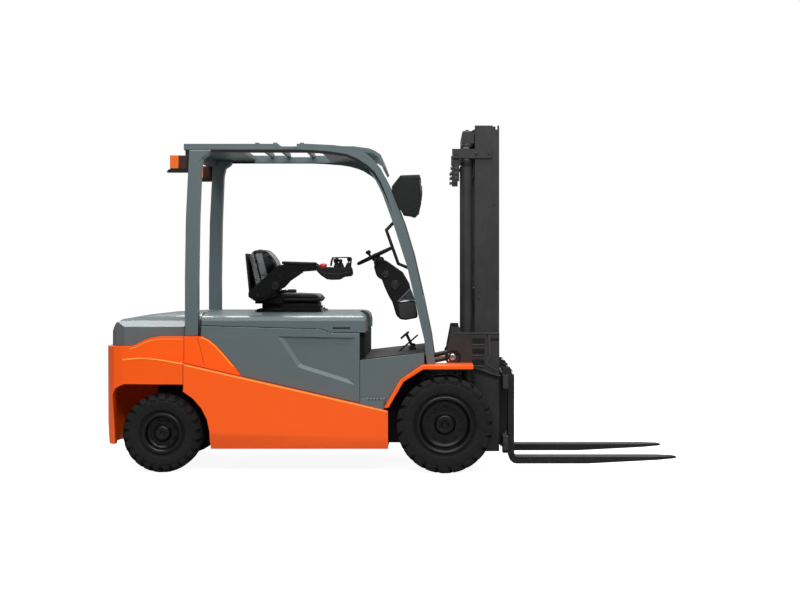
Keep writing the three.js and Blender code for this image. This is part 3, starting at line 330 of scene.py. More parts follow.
floor_mat = mat_finish("floor_mat", srgb(46, 42, 41))
amber = lens_finish("amber_lens", srgb(232, 104, 24))
clear_lens = lens_finish("clear_lens", srgb(214, 220, 224), 0.08)
chain_steel = chain_finish("chain_steel")

# The slot name that Build.piece looks up for each finish, where a piece names no other; the rest are
# black_plastic.
SLOTS = {
    mast_paint: "mast_paint", lit_rib_paint: "mast_paint", fork_steel: "mast_paint", frame_paint: "frame_paint",
    rim_paint: "rim_paint", rubber: "tyre", highlight_orange: "orange_paint", vinyl: "seat_fabric",
    dull_rod: "rod_chrome", chrome: None, amber: None, clear_lens: None,
}


# ---------------- shape helpers
def geometry_group(name):
    """A modifier's node group, with what comes into it and the socket that goes out."""
    group = bpy.data.node_groups.new(name, "GeometryNodeTree")
    for way in ("INPUT", "OUTPUT"):
        group.interface.new_socket("Geometry", in_out=way, socket_type="NodeSocketGeometry")
    start, end = group.nodes.new("NodeGroupInput"), group.nodes.new("NodeGroupOutput")
    return group, start.outputs[0], end.inputs[0]


def smooth_group():
    """Joins the split corners of an imported mesh and shades it smooth."""
    group, start, end = geometry_group("weld_and_smooth")
    weld = make_node(group, "GeometryNodeMergeByDistance", 0, {"Geometry": start, "Distance": 2e-5})
    group.links.new(make_node(group, "GeometryNodeSetShadeSmooth", 0, {"Geometry": weld}), end)
    return group


SMOOTH = smooth_group()


def soften(obj, width, segments=2, angle=28.0):
    """Rounds the sharp edges by a few millimetres and gives clean shading."""
    obj.modifiers.new("weld", "NODES").node_group = SMOOTH
    if width > 0:
        bevel = obj.modifiers.new("round", "BEVEL")
        bevel.width = width * MM
        bevel.segments = segments
        bevel.limit_method = "ANGLE"
        bevel.angle_limit = math.radians(angle)
        bevel.miter_outer = "MITER_ARC"
        bevel.use_clamp_overlap = True
    weighted = obj.modifiers.new("shading", "WEIGHTED_NORMAL")
    weighted.weight = 80
    weighted.keep_sharp = False


def place(name, data):
    """A new object in the scene."""
    obj = bpy.data.objects.new(name, data)
    bpy.context.scene.collection.objects.link(obj)
    return obj


def finish_piece(name, mesh, materials, body, slot, soft, segments, angle):
    """A piece that rides on a body; its edges are left alone where soft is None."""
    obj = place(name, mesh)
    for material in materials:
        mesh.materials.append(material)
    if soft is not None:
        soften(obj, soft, segments, angle)
    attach(obj, body)
    return obj


def mesh_of(name, verts, faces):
    """A mesh with its faces turned outwards."""
    mesh = bpy.data.meshes.new(name)
    mesh.from_pydata([tuple(v) for v in verts], [], faces)
    bm = bmesh.new()
    bm.from_mesh(mesh)
    bmesh.ops.recalc_face_normals(bm, faces=bm.faces)
    bm.to_mesh(mesh)
    bm.free()
    return mesh


def across(axis):
    """Two directions square to a unit axis and to each other."""
    side = axis.orthogonal().normalized()
    return side, axis.cross(side)


def circle(centre, side, other, radius, sides):
    """Points round a centre in metres, radius millimetres from it."""
    turn = [2 * math.pi * k / sides for k in range(sides)]
    return [centre + (side * math.cos(t) + other * math.sin(t)) * radius * MM for t in turn]


def faces_between(spans, loops, count, rows):
    """Faces from each loop of count points to the next, in rows along it. The last loop meets the first."""
    faces = []
    for k in range(spans):
        a, b = k * count, ((k + 1) % loops) * count
        for i in range(rows):
            j = (i + 1) % count
            faces.append([a + i, a + j, b + j, b + i])
    return faces


class Build:
    """Collects simple closed solids, in millimetres ahead of the front axle, into one mesh."""

    def __init__(self):
        self.verts, self.faces = [], []

    def add(self, verts, faces):
        base = len(self.verts)
        self.verts += [Vector(v) for v in verts]
        self.faces += [[base + i for i in face] for face in faces]
        return self

    def loft(self, rings):
        """Joins rings with the same number of points; the two ends are capped."""
        count, last = len(rings[0]), (len(rings) - 1) * len(rings[0])
        faces = faces_between(len(rings) - 1, len(rings), count, count)
        faces.append(list(range(count))[::-1])
        faces.append([last + k for k in range(count)])
        return self.add([p for ring in rings for p in ring], faces)

    def slab(self, outline, y0, y1):
        """An outline in ahead and height, carried across the truck."""
        return self.loft([[at(x, y, z) for x, z in outline] for y in (y0, y1)])

    def block(self, x0, x1, y0, y1, z0, z1):
        return self.slab([(x0, z0), (x1, z0), (x1, z1), (x0, z1)], y0, y1)

    def rod(self, a, b, radius, sides=24):
        """A round bar between two points, with small chamfers at its ends."""
        a, b = at(*a), at(*b)
        along = (b - a).normalized()
        side, other = across(along)
        chamfer = min(0.12 * radius, 2.0)
        step = along * chamfer * MM
        ends = ((a, radius - chamfer), (a + step, radius), (b - step, radius), (b, radius - chamfer))
        return self.loft([circle(point, side, other, r, sides) for point, r in ends])

    def bolt(self, centre, axis, radius=9, height=7):
        """A hexagon head on a washer, standing on centre and facing along axis."""
        c, axis = at(*centre), Vector(axis).normalized()
        side, other = across(axis)
        washer = ((radius * 1.55, -1.0), (radius * 1.55, 1.6), (radius * 1.4, 2.2))
        head = ((radius, 1.0), (radius, height - 1.2), (radius * 0.86, height))
        for rings, sides in ((washer, 18), (head, 6)):
            self.loft([circle(c + axis * h * MM, side, other, r, sides) for r, h in rings])
        return self

    def lathe(self, profile, centre, axis, sides=64, closed=False):
        """A profile of (radius, distance along the axis), turned about it."""
        c, axis = at(*centre), Vector(axis).normalized()
        side, other = across(axis)
        count, verts = len(profile), []
        for k in range(sides):
            t = 2 * math.pi * k / sides
            out = side * math.cos(t) + other * math.sin(t)
            verts += [c + axis * h * MM + out * r * MM for r, h in profile]
        return self.add(verts, faces_between(sides, sides, count, count if closed else count - 1))

    def pipe(self, points, radius, sides=12, round_by=0):
        """A bent bar or pipe along the points, its corners rounded by a curve."""
        path = smooth_path([at(*p) for p in points], round_by * MM)
        rings, normal = [], None
        for i, p in enumerate(path):
            ahead = path[min(i + 1, len(path) - 1)] - path[max(i - 1, 0)]
            ahead.normalize()
            if normal is None:
                normal = ahead.orthogonal().normalized()
            normal = (normal - ahead * normal.dot(ahead)).normalized()
            rings.append(circle(p, normal, ahead.cross(normal), radius, sides))
        return self.loft(rings)

    def mirror(self):
        """A copy of everything so far on the other side of the truck."""
        base = len(self.verts)
        self.verts += [Vector((v.x, -v.y, v.z)) for v in self.verts[:base]]
        self.faces += [[base + i for i in reversed(face)] for face in self.faces[:]]
        return self

    def piece(self, name, material, body="truck", soft=1.5, segments=2, angle=28.0, slot=""):
        """The solids as one piece; soft is the width of its rounded edges in millimetres."""
        if slot == "":
            slot = SLOTS.get(material, "black_plastic")
        mesh = mesh_of(name, self.verts, self.faces)
        return finish_piece(name, mesh, [material], body, slot, soft, segments, angle)


def smooth_path(points, radius):
    """The path with each inner corner replaced by a short curve."""
    if radius <= 0 or len(points) < 3:
        return points
    path = [points[0]]
    for before, corner, after in zip(points, points[1:], points[2:]):
        r1 = min(radius, (before - corner).length * 0.45)
        r2 = min(radius, (after - corner).length * 0.45)
        a = corner + (before - corner).normalized() * r1
        b = corner + (after - corner).normalized() * r2
        for k in range(7):
            t = k / 6
            path.append(a * (1 - t) ** 2 + corner * 2 * t * (1 - t) + b * t**2)
    return path + [points[-1]]


def rounded_rectangle(x0, x1, z0, z1, r):
    outline = []
    corners = ((x1 - r, z1 - r), (x0 + r, z1 - r), (x0 + r, z0 + r), (x1 - r, z0 + r))
    for quarter, (cx, cz) in enumerate(corners):
        for k in range(6):
            t = math.radians(90 * quarter + 90 * k / 5)
            outline.append((cx + r * math.cos(t), cz + r * math.sin(t)))
    return outline


# ---------------- CAD nodes that stay
def keep(names, material, soft, segments=2, angle=28.0):
    """Gives each named CAD node its finish and rounded edges. A * stands for left and right."""
    for name in names.split():
        for word in ("left", "right") if "*" in name else ("",):
            obj = node[name.replace("*", word)]
            obj.data.materials.clear()
            obj.data.materials.append(material)
            soften(obj, soft, segments, angle)


keep("drive_axle steer_axle", iron, 5)
keep("steer_knuckle_*", iron, 3)
keep("main_frame", frame_paint, 3)
keep("battery", battery_case, 8, 3)
keep("side_skirt_*", orange, 9, 3)
keep("counterweight", orange, 16, 4, 24)
keep("rear_cowl", grey, 12, 3, 22)
keep("cab_floor", grey, 3)
keep("fender_*", orange, 5)
keep("front_cowl", grey, 8, 3)
keep("guard_side_*", grey, 10, 3)
keep("rear_pillar_*", grey, 14, 3)
keep("roof", grey, 6)
keep("headlight_*", plastic, 10, 3)
keep("rear_light_*", plastic, 6)
keep("hood", grey, 12, 3, 24)
keep("seat_base", deep_black, 10, 3)
keep("pedals", plastic, 3)
keep("outer_mast inner_mast carriage", mast_paint, 4)
keep("lift_barrel_*", mast_paint, 2)
keep("lift_rod_*", chrome, 1)
keep("fork_*", fork_steel, 5)
keep("tilt_barrel_*", mast_paint, 3)
keep("tilt_rod_*", dull_rod, 1)


# ---------------- wheels
def tyre(name, body, middle, side, rows, lugs, gap, lean, cad):
    """A solid tyre. rows run from the outer bead to the middle of the tread, each (radius and distance
    from the wheel's middle in a groove, the same two on a lug, share of the lean). The lugs stand in two
    staggered rings."""
    wall = 0.014
    pitch = 2 * math.pi / lugs
    columns = [(wall, 0), (gap - wall, 0), (gap + wall, 1), ((1 + gap) / 2, 1), (1 - wall, 1)]
    inner = [(r0, -a0, r1, -a1, s, 0.5) for r0, a0, r1, a1, s in reversed(rows)]
    whole = [(*row, 0.0) for row in rows] + inner
    verts = []
    for turn in range(lugs):
        for share, high in columns:
            for r0, a0, r1, a1, slant, stagger in whole:
                angle = pitch * (turn + share + stagger + lean * slant)
                r, along = (r1, a1) if high else (r0, a0)
                offset = Vector((math.cos(angle) * r, side * along, math.sin(angle) * r))
                verts.append(at(*middle) + offset * MM)
    loops = lugs * len(columns)
    mesh = mesh_of(name, verts, faces_between(loops, loops, len(whole), len(whole)))
    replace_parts(finish_piece(name, mesh, [rubber], body, "tyre", 1.6, 1, 32), cad)


def tyre_rows(radius, half, bead, depth, shoulder, trim):
    """From the bead up the bulging side wall, over the shoulder to the middle of the tread."""
    top = radius - depth
    plain = [
        (bead, half - 34), (bead + 3, half - 20), (bead + 16, half - 17), (bead + 24, half - 5),
        (bead + 42, half), ((bead + radius) / 2 + 12, half + 0.5), (shoulder - 8, half - 4),
    ]
    return [(r, a, r, a, 0.0) for r, a in plain] + [
        (shoulder, half - 8, shoulder + 1, half - 3, 0.0),
        (shoulder + 12, half - 14, shoulder + 14, half - 1, 0.0),
        (top - 8, half - 24 - trim / 2, radius - 14, half - 5 - trim, 0.04),
        (top, half - 36 - trim / 2, radius - 1.5, half - 16 - trim * 1.5, 0.12),
        (top, half * 0.48, radius, half * 0.48, 0.55),
        (top, 14, radius, 14, 1.0),
        (top, 9, top, 9, 1.0),
    ]


def rim(name, body, middle, side, profile, cad, nuts, ring, face, nut_radius):
    build = Build().lathe(profile, middle, (0, side, 0), 96)
    ahead, y, z = middle
    for k in range(nuts):
        t = 2 * math.pi * (k + 0.5) / nuts
        centre = (ahead + ring * math.cos(t), y + side * face, z + ring * math.sin(t))
        build.bolt(centre, (0, side, 0), nut_radius, 15)
    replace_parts(build.piece(name, rim_paint, body, 1.2, 2, 30), cad)


FRONT_RIM = [
    (0, 66), (22, 66), (27, 70), (30, 92), (56, 96), (64, 92), (68, 70), (80, 60), (126, 54), (150, 58),
    (164, 68), (171, 96), (176, 128), (184, 142), (197, 147), (206, 143), (208, 134), (202, 124), (192, 118),
    (192, -134), (172, -134), (166, 6), (0, 0),
]
REAR_RIM = [
    (0, 58), (12, 58), (15, 60), (18, 76), (40, 80), (50, 76), (54, 56), (68, 44), (96, 40), (110, 46),
    (116, 70), (120, 94), (128, 102), (140, 104), (147, 100), (148, 91), (142, 84), (142, -92), (124, -92),
    (116, -16), (0, -22),
]


def wheels():
    ends = (
        ("front", 0, FRONT_R, (204, 17, 306, 0), (21, 0.24, 0.9), FRONT_RIM, (10, 116, 55, 11)),
        ("rear", REAR, REAR_R, (145, 16, 238, 9), (23, 0.36, 0.9), REAR_RIM, (8, 84, 42, 9)),
    )
    for word, side in SIDES:
        for end, ahead, radius, section, tread, profile, nuts in ends:
            low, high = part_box(f"{end}_tyre_{word}")
            middle = (ahead, (low.y + high.y) / 2 / MM, radius)
            rows = tyre_rows(radius, (high.y - low.y) / 2 / MM, *section)
            body = f"{end}_wheel_{word}"
            tyre(f"{end}_tread_{word}", body, middle, side, rows, *tread, f"{end}_tyre_{word}")
            rim(f"{end}_disc_{word}", body, middle, side, profile, f"{end}_rim_{word}", *nuts)


wheels()


# ---------------- body panels
SEAM_REAR = REAR + 159  # the seam between counterweight and skirt
SKIRT_FRONT = -411
COVER_REAR = REAR + 282
COVER_Y = 655
WEDGE_Y = 660
SKIRT_Y = 700
HOOD_Y = 640


def skirt_top(ahead):
    share = (ahead - SEAM_REAR) / (SKIRT_FRONT - SEAM_REAR)
    return 790 + share * (452 - 790)


def floor_top(ahead):
    return 815 + (ahead + 600) * 51 / 450


WEDGE = [(290, 985), (340, 962), (395, 916), (452, 853), (520, 775)]
COVER = [
    (COVER_REAR, 1060), (-893, 1035), (-837, 1011), (-616, 1008), (-616, skirt_top(-616) + 0.5),
    (REAR + 575, skirt_top(REAR + 575) + 0.5),
    *[(REAR + x + 1.5, z + 1.5) for x, z in reversed(WEDGE)], (COVER_REAR, 986.5),
]
RECESS = [(-1205, 985), (-651, 974), (-655, 634), (-1046, 756), (-1066, 768)]
RECESS_FLOOR = [(-1168, 977), (-704, 968), (-704, 676), (-1028, 779), (-1046, 792)]


def recessed_panel(name, outline, hole, floor, outer_y, depth, thick, side):
    """A flat panel with a shallow pressing in its outer face; the pressing's up-facing slopes carry a painted
    highlight in lighter greys.
    """
    y1, y2, y0 = side * outer_y, side * (outer_y - depth), side * (outer_y - thick)
    n, m = len(outline), len(hole)
    verts = [at(x, y1, z) for x, z in outline] + [at(x, y1, z) for x, z in hole]
    verts += [at(x, y2, z) for x, z in floor] + [at(x, y0, z) for x, z in outline]
    rings = [[Vector((x, z, 0)) for x, z in loop] for loop in (outline, hole)]
    faces = [list(tri) for tri in tessellate_polygon(rings)]
    first_slope = len(faces)  # the slopes that face up catch the light
    faces += [[n + k, n + (k + 1) % m, n + m + (k + 1) % m, n + m + k] for k in range(m)]
    faces.append([n + m + k for k in range(m)])
    back = n + 2 * m
    faces += [[k, (k + 1) % n, back + (k + 1) % n, back + k] for k in range(n)]
    faces.append([back + k for k in range(n)])
    mesh = mesh_of(name, verts, faces)
    # The lower slopes and the left slant get the lighter greys: painted highlight on the faces that tilt up.
    for k, polygon in enumerate(mesh.polygons):
        polygon.material_index = {2: 1, 3: 1, 4: 2}.get(k - first_slope, 0)
    return finish_piece(name, mesh, [grey, highlight_grey, lit_slope_grey], "truck", "grey_paint", 2.5, 2, 26)


def panel_line_strip(build, points, y, width=3.4, proud=0.6):
    """A thin strip along a line on a panel: a dark joint between two panels, a line of painted shade or a
    line of painted highlight.
    """
    for (x0, z0), (x1, z1) in zip(points, points[1:]):
        along = Vector((x1 - x0, z1 - z0)).normalized() * (width / 2)
        outline = [
            (x0 - along.y, z0 + along.x), (x1 - along.y, z1 + along.x),
            (x1 + along.y, z1 - along.x), (x0 + along.y, z0 - along.x),
        ]
        build.slab(outline, y - 4, y + proud)


def body_panels():
    for word, side in SIDES:
        cover = recessed_panel("cover_panel_" + word, COVER, RECESS, RECESS_FLOOR, COVER_Y, 11, 25, side)
        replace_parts(cover, "side_cover_" + word)

    seams = Build()
    panel_line_strip(seams, [(SEAM_REAR - 1, 792), (SEAM_REAR - 1, 984)], WEDGE_Y)
    panel_line_strip(seams, [(SEAM_REAR - 1, 596), (SEAM_REAR - 1, 789)], SKIRT_Y)
    panel_line_strip(seams, [(REAR + 257, 979), (REAR + 308, 771)], WEDGE_Y, 2.2, 0.4)
    # The dark strips along the foot of the wedge and the cover, where they sit inboard of the skirt's ledge,
    # are partly the joint and partly painted shade.
    wedge_foot = [(x, skirt_top(x) + 2.5) for x in (SEAM_REAR, REAR + 572)]
    panel_line_strip(seams, wedge_foot, WEDGE_Y, 5, 1.0)
    cover_foot = [(x, skirt_top(x) + 2.5) for x in (REAR + 572, SKIRT_FRONT - 30)]
    panel_line_strip(seams, cover_foot, COVER_Y, 5, 1.2)
    panel_line_strip(seams, [(-616, 470), (-616, 1006)], COVER_Y, 3.0, 0.5)
    seams.mirror().piece("panel_seams_and_shade", frame_paint, soft=0)

    # A dark line along the top edge of the pressing, which faces down: painted shade.
    pressing = Build()
    panel_line_strip(pressing, [(-1200, 984), (-653, 973)], COVER_Y, 3.2, 0.5)
    pressing.mirror().piece("pressing_shade_line", gasket, soft=0, slot="grey_paint")
    # Lighter orange strips along the skirt top, the wedge's edge, the counterweight crease and the brow:
    # painted highlight where these edges would catch the light from above.
    highlight_strips = Build()
    ridge = [(x, skirt_top(x) - 8) for x in (SEAM_REAR + 4, SKIRT_FRONT - 6)]
    panel_line_strip(highlight_strips, ridge, SKIRT_Y, 11, 0.5)
    panel_line_strip(highlight_strips, [(REAR + x - 8, z - 6) for x, z in WEDGE], WEDGE_Y, 9, 0.5)
    swell = [(SEAM_REAR - 8, SKIRT_Y, 790), (REAR - 113, 676, 834), (REAR - 288, WEDGE_Y, 817)]
    highlight_strips.pipe([(x, y - 3.6, z - 2) for x, y, z in swell], 5, 12, 130)
    brow = [(-236, 894), (-180, 911), (-130, 939), (-83, 956), (-20, 966), (157, 966)]
    highlight_strips.pipe([(REAR + x, WEDGE_Y - 3.6, z) for x, z in brow], 4.4, 12, 30)
    highlight_strips.mirror().piece("painted_highlight_lines", highlight_orange, soft=None)

    seal = Build().block(-1735, -700, 602, 612, 1030, 1082)
    seal.mirror().piece("hood_seals", gasket, soft=2)

    # A black inlay on each side of the hood lid: painted shade for the inside of the grip slot.
    grip = Build().slab(rounded_rectangle(-814, -685, 1039, 1051, 5), HOOD_Y - 3, HOOD_Y + 0.8)
    grip.mirror().piece("hood_grip_slot_shade", plastic_soft, "hood_lid", 0.6)

    mat = [(-598, floor_top(-598) + 1), (-152, floor_top(-152) + 1)]
    mat += [(x, z + 6) for x, z in reversed(mat)]
    Build().slab(mat, -626, 626).piece("floor_mat", floor_mat)

    leg_panel = Build().block(-599.4, -583, -586, 586, floor_top(-600) + 8, 1006)
    leg_panel.piece("leg_panel", plastic_soft, soft=5, segments=3)

    teeth = Build()
    for k in range(6):
        teeth.block(-566 + 24 * k, -554 + 24 * k, 654, 686, 534, 541)
    teeth.mirror().piece("step_treads", step_steel, slot="grey_paint")
    # Black strips between the tread teeth: painted shade in the step slots.
    step_gap_shade = Build()
    for k in range(5):
        step_gap_shade.block(-552 + 24 * k, -544 + 24 * k, 684, 689, 524, 533.5)
    step_gap_shade.mirror().piece("step_slot_shade", plastic_soft, soft=0.6)

    # A black liner under the front fender: painted shade for the dark under the fender.
    liner = [(203, 750.4), (-155.6, 750.4), (-299.4, 659.6), (-407.6, 474)]
    liner += [(-402, 474), (-295, 656), (-153.6, 746), (203, 746)]
    Build().slab(liner, 437, 726).mirror().piece("arch_shade_liners", plastic_soft, soft=1)


body_panels()


# ---------------- guard, lamps
def black_grab_handle():
    """Gives the faces of the grab handle, ahead of the leaning pillar, a black finish, by a choice laid
    straight after the weld. A test is (x factor, z factor, limit in metres), passed where x * a + z * b
    is less."""
    lean = 0.325
    edge = FRONT_X - 0.278 + lean * 1.485
    group, start, end = geometry_group("grab_handle")
    position = make_node(group, "GeometryNodeInputPosition")
    place = make_node(group, "ShaderNodeSeparateXYZ", 0, {0: position}).node.outputs

    def maths(operation, a, b):
        return make_node(group, "ShaderNodeMath", 0, {0: a, 1: b}, operation=operation)

    passed = 1.0
    for a, b, limit in ((1, lean, edge), (0, -1, -1.47), (0, 1, 1.85)):
        total = maths("ADD", maths("MULTIPLY", place["X"], a), maths("MULTIPLY", place["Z"], b))
        passed = maths("MULTIPLY", passed, maths("LESS_THAN", total, limit))
    sockets = {"Geometry": start, "Material": plastic, "Selection": passed}
    group.links.new(make_node(group, "GeometryNodeSetMaterial", 0, sockets), end)
    pillar = node["guard_side_right"]
    pillar.modifiers.new("choice", "NODES").node_group = group
    pillar.modifiers.move(len(pillar.modifiers) - 1, 1)


LAMP_Y = 562


def lamps():
    bezel = [(0, -6), (58, -6), (62, -3), (62, 5), (57, 9), (53, 8), (51, 2), (0, 2)]
    glass = [(0, 1), (50, 1), (50, 5), (40, 9), (22, 12), (0, 13)]
    marker = [(0, -4), (25, -4), (27, 0), (26, 12), (20, 16), (0, 16)]
    # A lighter grey strip along the top of the headlamp housing: painted highlight where the light falls from
    # above.
    cap = [(-330, 2146), (-322, 2153), (-184, 2158), (-180, 2150), (-181, 2132), (-300, 2128)]
    lens = rounded_rectangle(REAR + 49, REAR + 112, 2203, 2300, 7)
    casing = rounded_rectangle(REAR + 114, REAR + 170, 2200, 2296, 6)
    foot = rounded_rectangle(REAR + 26, REAR + 175, 2174, 2183, 3)
    for word, side in SIDES:

        def turned(profile, ahead, z, axis, sides):
            return Build().lathe(profile, (ahead, side * LAMP_Y, z), axis, sides)

        def slab(outline, low, high):
            return Build().slab(outline, *sorted((side * low, side * high)))

        for name, build, material, soft, segments in (
            ("headlamp_bezel_", turned(bezel, -184, 2080, (1, 0, -0.03), 48), plastic_grey, 0.8, 2),
            ("headlamp_lens_", turned(glass, -184, 2080, (1, 0, -0.03), 48), clear_lens, 0, 2),
            ("indicator_", slab(rounded_rectangle(-206, -201, 1930, 1974, 2), 512, 612), amber, 1, 2),
            ("marker_lamp_", turned(marker, -226, 1918, (0.25, 0, -1), 32), plastic, 0.8, 2),
            ("headlamp_lit_top_", slab(cap, 499, 626.5), plastic_grey, 4, 3),
            ("rear_lens_", slab(lens, 558, 617), amber, 3, 2),
            ("rear_lamp_body_", slab(casing, 558, 617), lamp_brown, 3, 2),
            ("rear_lamp_foot_", slab(foot, 558, 617), plastic, 1, 2),
        ):
            build.piece(name + word, material, soft=soft, segments=segments)


black_grab_handle()
lamps()


# ---------------- seat
SEAT_HALF = 240


def stuffed(cad, outline, inset, cap, seams, cloth):
    """A foam cushion in a CAD node's place: a slightly small block, remeshed, blown up by cloth pressure
    with its travel capped, then drawn in along its seams. cloth(point) tells where the grey fabric lies."""
    name = cad + "_pad"
    middle = [sum(p[i] for p in outline) / len(outline) for i in (0, 1)]
    smaller = [
        (x + inset * (-1 if x > middle[0] else 1), z + inset * (-1 if z > middle[1] else 1))
        for x, z in outline
    ]
    half = SEAT_HALF - 4 - inset
    block = Build().slab(smaller, -half, half)
    rough = place(name + "_rough", mesh_of(name + "_rough", block.verts, block.faces))
    bevel = rough.modifiers.new("round", "BEVEL")
    bevel.width, bevel.segments = 22 * MM, 3
    bevel.limit_method = "ANGLE"
    remesh = rough.modifiers.new("remesh", "REMESH")
    remesh.mode = "VOXEL"
    remesh.voxel_size = 6 * MM
    bpy.context.view_layer.update()
    mesh = bpy.data.meshes.new_from_object(rough.evaluated_get(bpy.context.evaluated_depsgraph_get()))
    bpy.data.objects.remove(rough)
    obj = place(name, mesh)
    start = [v.co.copy() for v in mesh.vertices]
    simulate(obj, start, cap)
    rest = (min(z for x, z in outline) + 1) * MM
    for vertex in mesh.vertices:
        co = vertex.co
        for distance, direction, depth, width in seams((co.x - FRONT_X) / MM, co.y / MM, co.z / MM):
            co += Vector(direction) * (depth * math.exp(-((distance / width) ** 2))) * MM
        co.z = max(co.z, rest)
    for one in (vinyl, cloth_grey):
        mesh.materials.append(one)
    for polygon in mesh.polygons:
        c = polygon.center
        polygon.material_index = int(cloth((c.x - FRONT_X) / MM, c.y / MM, c.z / MM))
        polygon.use_smooth = True
    subdivision = obj.modifiers.new("finer", "SUBSURF")
    subdivision.levels = subdivision.render_levels = 1
    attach(obj, "hood_lid")
    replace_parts(obj, cad)


def simulate(obj, start, cap):
    """Blows the pad up as cloth, and lets no point move further than cap millimetres."""
    scene = bpy.context.scene
    cloth = obj.modifiers.new("cloth", "CLOTH")
    cloth.settings.quality = 4
    cloth.settings.use_pressure = True
    cloth.settings.uniform_pressure_force = 4
    cloth.settings.effector_weights.gravity = 0
    cloth.point_cache.frame_start, cloth.point_cache.frame_end = 1, 20
    for frame_number in range(1, 21):
        scene.frame_set(frame_number)
    swollen = obj.evaluated_get(bpy.context.evaluated_depsgraph_get()).to_mesh()
    ends = [v.co.copy() for v in swollen.vertices]
    obj.modifiers.remove(cloth)
    scene.frame_set(1)
    for vertex, a, b in zip(obj.data.vertices, start, ends):
        move = b - a
        if move.length > cap * MM:
            move *= cap * MM / move.length
        vertex.co = a + move


def along_back(x, z):
    """How far a point lies ahead of the seat back's rear line, and how high up it."""
    lean = math.atan2(98, 385)
    return (x + 1400) * math.cos(lean) + (z - 1215) * math.sin(lean), z


def back_seams(x, y, z):
    ahead, up = along_back(x, z)
    inward = (0, -1 if y > 0 else 1, 0)
    yield abs(ahead - 62), inward, 7, 6
    yield abs(abs(y) - 150), (-1, 0, 0.2), 9 if ahead > 90 else 0, 7
    for rib in (-90, -30, 30, 90):
        yield abs(y - rib), (-1, 0, 0.2), 5 if ahead > 90 else 0, 8
    yield abs(up - 1350), (-1, 0, 0.2), 7 if ahead > 90 and abs(y) < 150 else 0, 9


def back_cloth(x, y, z):
    ahead, up = along_back(x, z)
    if abs(y) < 148:
        return ahead > 80 and 1270 < up < 1600
    return 18 < ahead < 56 and 1290 < up < 1606 or 70 < ahead < 118 and 1350 < up < 1590


def cushion_seams(x, y, z):
    inward = (0, -1 if y > 0 else 1, 0)
    yield abs(z - 1252), inward, 6, 5
    top = 1 if z > 1262 else 0
    yield abs(abs(y) - 155), (0, 0, -1), 8 * top, 7
    for across in (-1185, -1110, -1035):
        yield abs(x - across), (0, 0, -1), 6 * top if abs(y) < 155 else 0, 8


def cushion_cloth(x, y, z):
    return z > 1266 and abs(y) < 152 and x > -1245


def seat():
    back = [
        (-1262, 1232), (-1392, 1232), (-1446, 1300), (-1474, 1580), (-1456, 1628), (-1372, 1634),
        (-1306, 1592), (-1264, 1524), (-1284, 1400), (-1260, 1300),
    ]
    stuffed("seat_back", back, 10, 14, back_seams, back_cloth)
    cushion = [(-1250, 1217), (-930, 1217), (-910, 1236), (-914, 1262), (-950, 1280), (-1250, 1289)]
    stuffed("seat_cushion", cushion, 9, 12, cushion_seams, cushion_cloth)

    shell = [(-1455, 1300), (-1482, 1586), (-1492, 1590), (-1498, 1582), (-1470, 1298)]
    Build().slab(shell, 8 - SEAT_HALF, SEAT_HALF - 8).piece("seat_back_shell", plastic, "hood_lid", 4, 3)

    rails = Build()
    for k in range(5):
        z = 1158 + 11 * k
        rails.block(-1382 + 5 * k, -948 - 3 * k, 187, 197 - 1.2 * k, z, z + 6.5)
    rails.block(-1330, -1010, 196, 202, 1166, 1171)
    rails.mirror()
    rails.block(-958, -940, -150, 150, 1176, 1190)
    rails.piece("seat_suspension_folds", plastic_soft, "hood_lid")

    hinge = [(-1424, 1212), (-1224, 1212), (-1206, 1262), (-1236, 1312), (-1330, 1300), (-1412, 1258)]
    hinges = Build().slab(hinge, 239, 246).mirror()
    hinges.piece("seat_hinges", deep_black, "hood_lid", 3)

    runners = Build().block(-1430, -905, 150, 186, 1150.6, 1164).mirror()
    runners.rod((-930, -150, 1172), (-930, 150, 1172), 6, 16)
    for x in (-1405, -930):
        runners.bolt((x, 168, 1164), (0, 0, 1), 7, 7).bolt((x, -168, 1164), (0, 0, 1), 7, 7)
    runners.piece("seat_runners", step_steel, "hood_lid")

    lever = Build().pipe([(-1270, -246, 1300), (-1205, -250, 1306), (-1150, -252, 1307)], 6, 12, 20)
    grip = [(0, -1), (12, 0), (14, 12), (13, 62), (9, 68), (0, 69)]
    lever.lathe(grip, (-1178, -251, 1306.5), (1, 0, 0.02), 24)
    lever.piece("recline_lever", plastic, "hood_lid", 1)
    hub = [(0, -2), (30, -2), (32, 2), (31, 7), (22, 9), (10, 9.5), (0, 9.5)]
    hub = Build().lathe(hub, (-1292, -239, 1290), (0, -1, 0), 40)
    hub.bolt((-1292, -247, 1290), (0, -1, 0), 9, 7)
    hub.piece("recline_hub", plastic_grey, "hood_lid", 0.8)


# ---------------- armrest
ARM_OUT, ARM_IN = -335, -240.5


